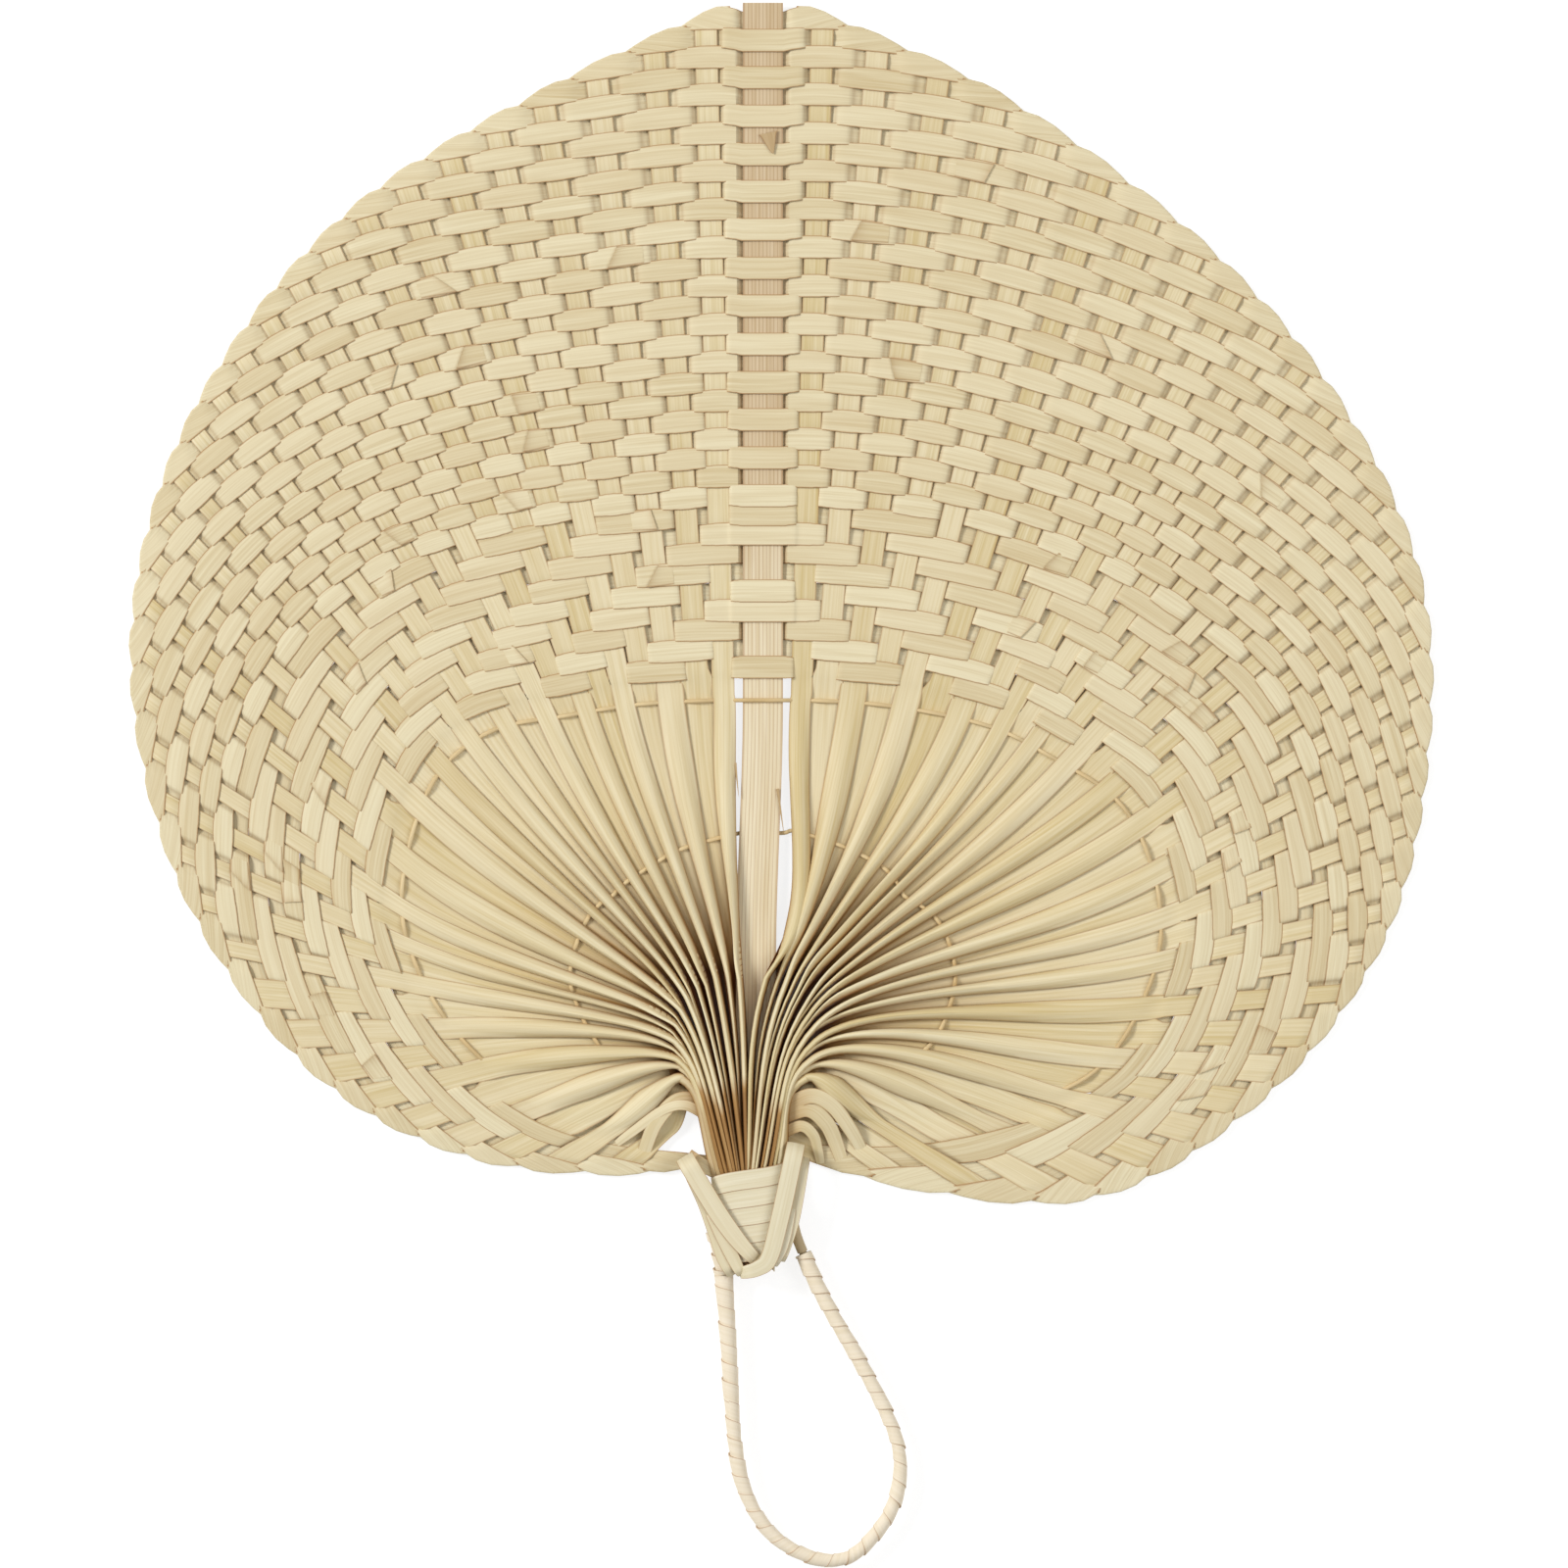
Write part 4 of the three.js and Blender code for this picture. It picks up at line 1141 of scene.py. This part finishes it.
# Loose strips lashed round the shoulders: their thickness and crown, and for each one its width and
# its points in space from the bundle outwards
LASHING_THICKNESS, LASHING_CROWN = 0.25, 0.15
LASHINGS = {
    "left": [
        (
            3.4, (-13.4, 25.6, 3.4), (-19.8, 25.8, 4.8), (-24.8, 20.6, 3.8), (-27.6, 13.6, 1.6),
            (-28.2, 10.8, 1.0),
        ),
        (
            2.4, (-12.4, 21.6, 3.6), (-17.8, 24.6, 5.2), (-23.0, 23.6, 4.6), (-30.0, 18.6, 2.6),
            (-34.0, 15.6, 1.0),
        ),
        (3.2, (-17.4, 13.0, 3.4), (-14.4, 11.0, 4.4), (-11.6, 9.4, 4.6), (-9.2, 8.2, 4.0)),
    ],
    "right": [
        (10.0, (3.0, 20.0, 2.2), (9.0, 17.6, 2.0), (15.0, 15.0, 1.5), (22.0, 12.0, 1.0)),
        (
            3.8, (3.6, 21.6, 3.4), (10.2, 23.8, 5.0), (14.6, 20.6, 4.2), (17.0, 15.6, 2.6),
            (18.6, 10.6, 1.4),
        ),
        (
            2.6, (3.6, 17.4, 3.4), (8.6, 19.8, 4.8), (11.6, 17.8, 4.2), (12.8, 14.0, 2.8),
            (13.4, 11.0, 2.0),
        ),
        (
            3.6, (4.2, 23.4, 3.8), (10.8, 26.8, 5.4), (16.0, 24.6, 4.8), (20.4, 18.8, 3.2),
            (23.6, 12.8, 1.0),
        ),
    ],
}


def strap_course(points, layer, thickness):
    """A strap's course in space, bent back over the neck at both of its ends."""
    flat = dense(points, 10)
    share = np.linspace(0, 1, len(flat))
    front = 2 * NECK_MID + 0.25 + layer * (thickness + 0.08)
    first = np.maximum(1 - share / 0.13, 0) ** 2.2 * 0.42
    last = np.maximum((share - 0.86) / 0.14, 0) ** 2 * 0.3
    return raised(flat, front * (1 - first - last))


class FAN_OT_neck_binding(bpy.types.Operator):
    """Winds the neck, lays the straps over it and lashes the shoulders"""

    bl_idname = "fan.neck_binding"
    bl_label = "Neck binding"

    def execute(self, context):
        binding, finish = context.scene.fan_binding, context.scene.fan_finish
        chance = np.random.default_rng(5)
        leaf = dried_palm_leaf(
            "split_palm_leaf_binding", finish.bind_pale, finish.bind_deep, finish.edge,
            fibre_mm=0.55, edge_share=0.9, edge_depth=0.85,
        )
        segment = bpy.data.materials["dried_palm_leaf_segment"]
        winding = Strips()
        winding.add(*neck_winding(binding), 0.2)
        winding.build("neck_winding", leaf, FAN_BODY, "binding", "neck_wrap")
        thickness = binding.strap_thickness / MM
        for name, bands in STRAPS.items():
            strips = Strips()
            for points, width, layer in bands:
                course = strap_course(points, layer, thickness)
                widths = width * (1 - 0.4 * np.linspace(0, 1, len(course)) ** 4)
                strips.add(*band(course, widths, thickness, crown=0.14), chance.uniform())
            strips.build(f"{name}_band", leaf, FAN_BODY, "binding", name)
        for side, bands in LASHINGS.items():
            strips = Strips()
            for width, *points in bands:
                course = dense(points, 10)
                share = np.linspace(0, 1, len(course))
                widths = width * (1 - 0.3 * share ** 4)
                shade_and_stain = 0.35 * (1 - smooth(share * 2.5)) + WOVEN_DIMMING
                faces = band(course, widths, LASHING_THICKNESS, crown=LASHING_CROWN)
                strips.add(*faces, chance.uniform(), shade_and_stain)
            strips.build(f"{side}_shoulder_lashing", segment, FAN_BODY, "binding")
        stub = Strips()
        for place in np.linspace(-STUB_REACH, STUB_REACH, STUB_BLADES):
            faces = stub_blade(place, chance.uniform(*STUB_FOOT), chance.uniform(0.86, 1.0))
            stub.add(*faces, chance.uniform(), chance.uniform(0.1, 0.7))
        stub.build("neck_stub", segment, FAN_BODY, "pleats")
        return {"FINISHED"}


# A strip wound round a stalk: rings to a turn, its half width as a share of the turns' spacing, how
# much looser or tighter a turn may be, how far it laps on the last one, and its thickness
WINDING_RINGS, WINDING_HALF, WINDING_SLACK, WINDING_LAP, WINDING_THICKNESS = 22, 0.56, 0.14, 0.26, 0.25


def stalk_winding(points, turns, bare, swell, binding, chance):
    """Top and bottom points of a strip wound round a stalk, each turn lapped on the last. The
    stalk swells at its two ends, and its end may stay bare."""
    course = dense([(*place, NECK_MID) for place in points], 40)
    step = np.linalg.norm(np.diff(course, axis=0), axis=1)
    reach = np.concatenate([[0], np.cumsum(step)])
    pitch = (reach[-1] - bare) / turns
    angle = np.linspace(-np.pi, (2 * turns + 1) * np.pi, (turns + 1) * WINDING_RINGS)
    share = np.linspace(-1, 1, 5)
    distance = pitch * angle[:, None] / (2 * np.pi) + share * pitch * WINDING_HALF
    margin = 0.04 + 0.02 * share
    distance = np.clip(distance, margin, reach[-1] - bare - 0.08 + margin)

    def at(where):
        return np.stack([np.interp(where, reach, course[:, axis]) for axis in range(3)], -1)

    along = unit(at(distance + 0.4) - at(distance - 0.4))
    across = unit(np.cross(along, UP))
    done = np.clip(angle / (2 * np.pi * turns), 0, 1)
    slack = chance.uniform(-WINDING_SLACK, WINDING_SLACK, turns + 1)
    slack = np.interp(done * turns, np.arange(turns + 1), slack)
    radius = binding.loop_diameter / MM / 2 - 0.22 + slack
    radius = radius + swell[0] * (1 - done) ** 5 + swell[1] * done ** 5
    radius = radius[:, None] + WINDING_LAP * (1 - share) / 2
    cos, sin = np.cos(angle)[:, None, None], np.sin(angle)[:, None, None]
    around = across * cos + UP * sin
    top = at(distance) + around * radius[..., None]
    return top, top - around * WINDING_THICKNESS


# Course and turns of the winding on the left tail above the loop's root, and by how much the loop
# swells at its left and right roots
LEFT_ROOT, LEFT_ROOT_TURNS = [(-11.2, -4.6), (-10.5, -8.4), (-9.7, -11.8), (-9.1, -14.8)], 3
ROOT_SWELL = 0.55, 0.3

# Courses of the core's two ends in the neck, and their thickness as a share of the core's
TAILS = {
    "left_tail": ((-9.6, 6.0), (-10.4, 0.0), (-10.6, -8.0), (-9.1, -14.8)),
    "right_tail": ((5.6, 6.0), (6.4, 1.0), (7.6, -5.0), (9.2, -9.4)),
}
TAIL_SHARE = 1.35


class FAN_OT_carrying_loop(bpy.types.Operator):
    """Winds the carrying loop and its left root, and lays their core"""

    bl_idname = "fan.carrying_loop"
    bl_label = "Carrying loop"

    def execute(self, context):
        binding, finish = context.scene.fan_binding, context.scene.fan_finish
        pale = dried_palm_leaf(
            "pale_palm_leaf_winding", finish.loop_pale, finish.loop_deep, finish.edge,
            fibre_mm=0.55, edge_share=0.88,
        )
        stalk = dried_palm_leaf(
            "palm_stalk_fibre", finish.rib_deep, finish.core, finish.core, fibre_mm=0.4,
        )
        chance = np.random.default_rng(37)
        winding = Strips()
        bare = binding.bare_core / MM
        winding.add(
            *stalk_winding(LOOP_COURSE, binding.loop_turns, bare, ROOT_SWELL, binding, chance), 0.2,
        )
        winding.build("loop_winding", pale, LOOP_BODY, "loop_strip", "loop_wrap")
        swell = ROOT_SWELL[0], ROOT_SWELL[0]
        root = Strips()
        root.add(*stalk_winding(LEFT_ROOT, LEFT_ROOT_TURNS, 0.0, swell, binding, chance), 0.25)
        # given the bodies of the fan and the loop, with its upper end and the loop's root
        ends = [(x * MM, y * MM, NECK_MID * MM) for x, y in (LEFT_ROOT[0], LEFT_ROOT[-1])]
        root.build("left_root_winding", pale, (FAN_BODY, LOOP_BODY, *ends), "loop_strip")
        radius = binding.core_diameter / MM / 2
        core = Strips()
        core.add(*tube(dense([(*place, NECK_MID) for place in LOOP_COURSE], 6), radius, 10), 0.5)
        core.build("loop_stalk", stalk, LOOP_BODY, "cane", "loop_core")
        for name, points in TAILS.items():
            tail = Strips()
            course = dense([(*place, NECK_MID) for place in points], 8)
            tail.add(*tube(course, TAIL_SHARE * radius, 10), 0.5)
            tail.build(f"{name}_stalk", stalk, FAN_BODY, "cane", name)
        return {"FINISHED"}


# The picture frame over the fan in millimetres, and how far the camera stands off
VIEW_SIDE, VIEW_CENTRE, VIEW_DISTANCE = 364.16, (4.9, 99.1), 2600.0

# Half side of the floor in metres, and how far it lies below the fan in millimetres
FLOOR_HALF, FLOOR_DROP = 6.0, 0.4

# Softboxes: name, place and side in metres, and power; and the strength of the light all round
LAMPS = (
    ("key_softbox", (-2.7, 1.3, 2.5), 1.1, 93.0), ("fill_softbox", (1.3, 0.2, 1.6), 1.2, 12.0),
)
ROUND_LIGHT = 0.36


class FAN_OT_stage(bpy.types.Operator):
    """Sets the floor, the camera and soft studio light"""

    bl_idname = "fan.stage"
    bl_label = "Stage"

    def execute(self, context):
        scene = context.scene
        scene.view_settings.view_transform = "Standard"
        self.floor(scene)
        self.world(scene)
        self.camera(scene)
        for lamp in LAMPS:
            self.lamp(scene, *lamp)
        return {"FINISHED"}

    def floor(self, scene):
        """A sheet of paper under the fan."""
        mesh = bpy.data.meshes.new("floor")
        corners = ((-1, -1), (1, -1), (1, 1), (-1, 1))
        places = [(x * FLOOR_HALF, y * FLOOR_HALF, -FLOOR_DROP * MM) for x, y in corners]
        mesh.from_pydata(places, [], [(0, 1, 2, 3)])
        floor = bpy.data.objects.new("floor", mesh)
        scene.collection.objects.link(floor)
        # matt white paper sweep: to the lens it is nearly its own white, so that only shadow shows
        paper = bpy.data.materials.new("matt_white_paper")
        paper.use_nodes = True
        tree = paper.node_tree
        tree.nodes.clear()
        plain = add_node(tree, "ShaderNodeBsdfDiffuse", {"Color": linear("F4F3F0")})
        veil = add_node(tree, "ShaderNodeBsdfDiffuse", {"Color": linear("9C9C9C")})
        glow = add_node(tree, "ShaderNodeEmission", {"Strength": 0.8})
        white = add_node(tree, "ShaderNodeAddShader", {0: veil.outputs[0], 1: glow.outputs[0]})
        mixed = add_node(
            tree, "ShaderNodeMixShader",
            {0: self.seen(tree), 1: plain.outputs[0], 2: white.outputs[0]},
        )
        add_node(tree, "ShaderNodeOutputMaterial", {"Surface": mixed.outputs[0]})
        mesh.materials.append(paper)

    def seen(self, tree):
        """Whether the lens sees a place, straight or in a reflection."""
        path = add_node(tree, "ShaderNodeLightPath")
        rays = [path.outputs[f"Is {kind} Ray"] for kind in ("Camera", "Glossy", "Transmission")]
        first = add_node(tree, "ShaderNodeMath", {0: rays[0], 1: rays[1]}, operation="MAXIMUM")
        either = add_node(
            tree, "ShaderNodeMath", {0: first.outputs[0], 1: rays[2]}, operation="MAXIMUM",
        )
        return either.outputs[0]

    def world(self, scene):
        """A soft light from all round, which the lens sees as white."""
        world = bpy.data.worlds.new("studio")
        world.use_nodes = True
        tree = world.node_tree
        tree.nodes.clear()
        strength = add_node(
            tree, "ShaderNodeMapRange",
            {"Value": self.seen(tree), "To Min": ROUND_LIGHT, "To Max": 1.0},
        )
        sky = add_node(
            tree, "ShaderNodeBackground",
            {"Color": linear("FFFFFF"), "Strength": strength.outputs[0]},
        )
        add_node(tree, "ShaderNodeOutputWorld", {"Surface": sky.outputs[0]})
        scene.world = world

    def camera(self, scene):
        """A long lens straight above the fan."""
        lens = bpy.data.cameras.new("camera")
        lens.lens = lens.sensor_width * VIEW_DISTANCE / VIEW_SIDE
        lens.clip_end = 100
        camera = bpy.data.objects.new("camera", lens)
        camera.location = (VIEW_CENTRE[0] * MM, VIEW_CENTRE[1] * MM, VIEW_DISTANCE * MM)
        scene.collection.objects.link(camera)
        scene.camera = camera

    def lamp(self, scene, name, place, side, power):
        """A square softbox that faces the fan."""
        light = bpy.data.lights.new(name, "AREA")
        light.size, light.energy = side, power
        lamp = bpy.data.objects.new(name, light)
        lamp.location = place
        aim = Vector((VIEW_CENTRE[0] * MM, VIEW_CENTRE[1] * MM, 0)) - lamp.location
        lamp.rotation_euler = aim.to_track_quat("-Z", "Y").to_euler()
        scene.collection.objects.link(lamp)


OPERATORS = (
    FAN_OT_stage, FAN_OT_weft_rows, FAN_OT_cut_ends, FAN_OT_leaf_segments, FAN_OT_midrib,
    FAN_OT_sewing_twines, FAN_OT_neck_binding, FAN_OT_carrying_loop,
)
SETTINGS = {
    "fan_weave": FanWeaveSettings,
    "fan_pleat": FanPleatSettings,
    "fan_binding": FanBindingSettings,
    "fan_finish": FanFinishSettings,
}


class FAN_PT_sidebar(bpy.types.Panel):
    """Lists the fan's pieces and sizes in the sidebar"""

    bl_idname = "FAN_PT_sidebar"
    bl_label = "Palm leaf fan"
    bl_space_type = "VIEW_3D"
    bl_region_type = "UI"
    bl_category = "Palm Fan"

    def draw(self, context):
        for operator in OPERATORS:
            self.layout.operator(operator.bl_idname)
        for name, group in SETTINGS.items():
            box = self.layout.box()
            for key in group.__annotations__:
                box.prop(getattr(context.scene, name), key)


def register():
    """Registers the settings, the operators and the sidebar."""
    for cls in (*SETTINGS.values(), *OPERATORS, FAN_PT_sidebar):
        bpy.utils.register_class(cls)
    for name, group in SETTINGS.items():
        setattr(bpy.types.Scene, name, PointerProperty(type=group))


def unregister():
    """Takes away what register added."""
    for name in SETTINGS:
        delattr(bpy.types.Scene, name)
    for cls in (FAN_PT_sidebar, *reversed(OPERATORS), *reversed(SETTINGS.values())):
        bpy.utils.unregister_class(cls)


def main():
    """Builds the fan piece by piece."""
    register()
    for operator in OPERATORS:
        group, name = operator.bl_idname.split(".")
        getattr(getattr(bpy.ops, group), name)()


if __name__ == "__main__":
    main()
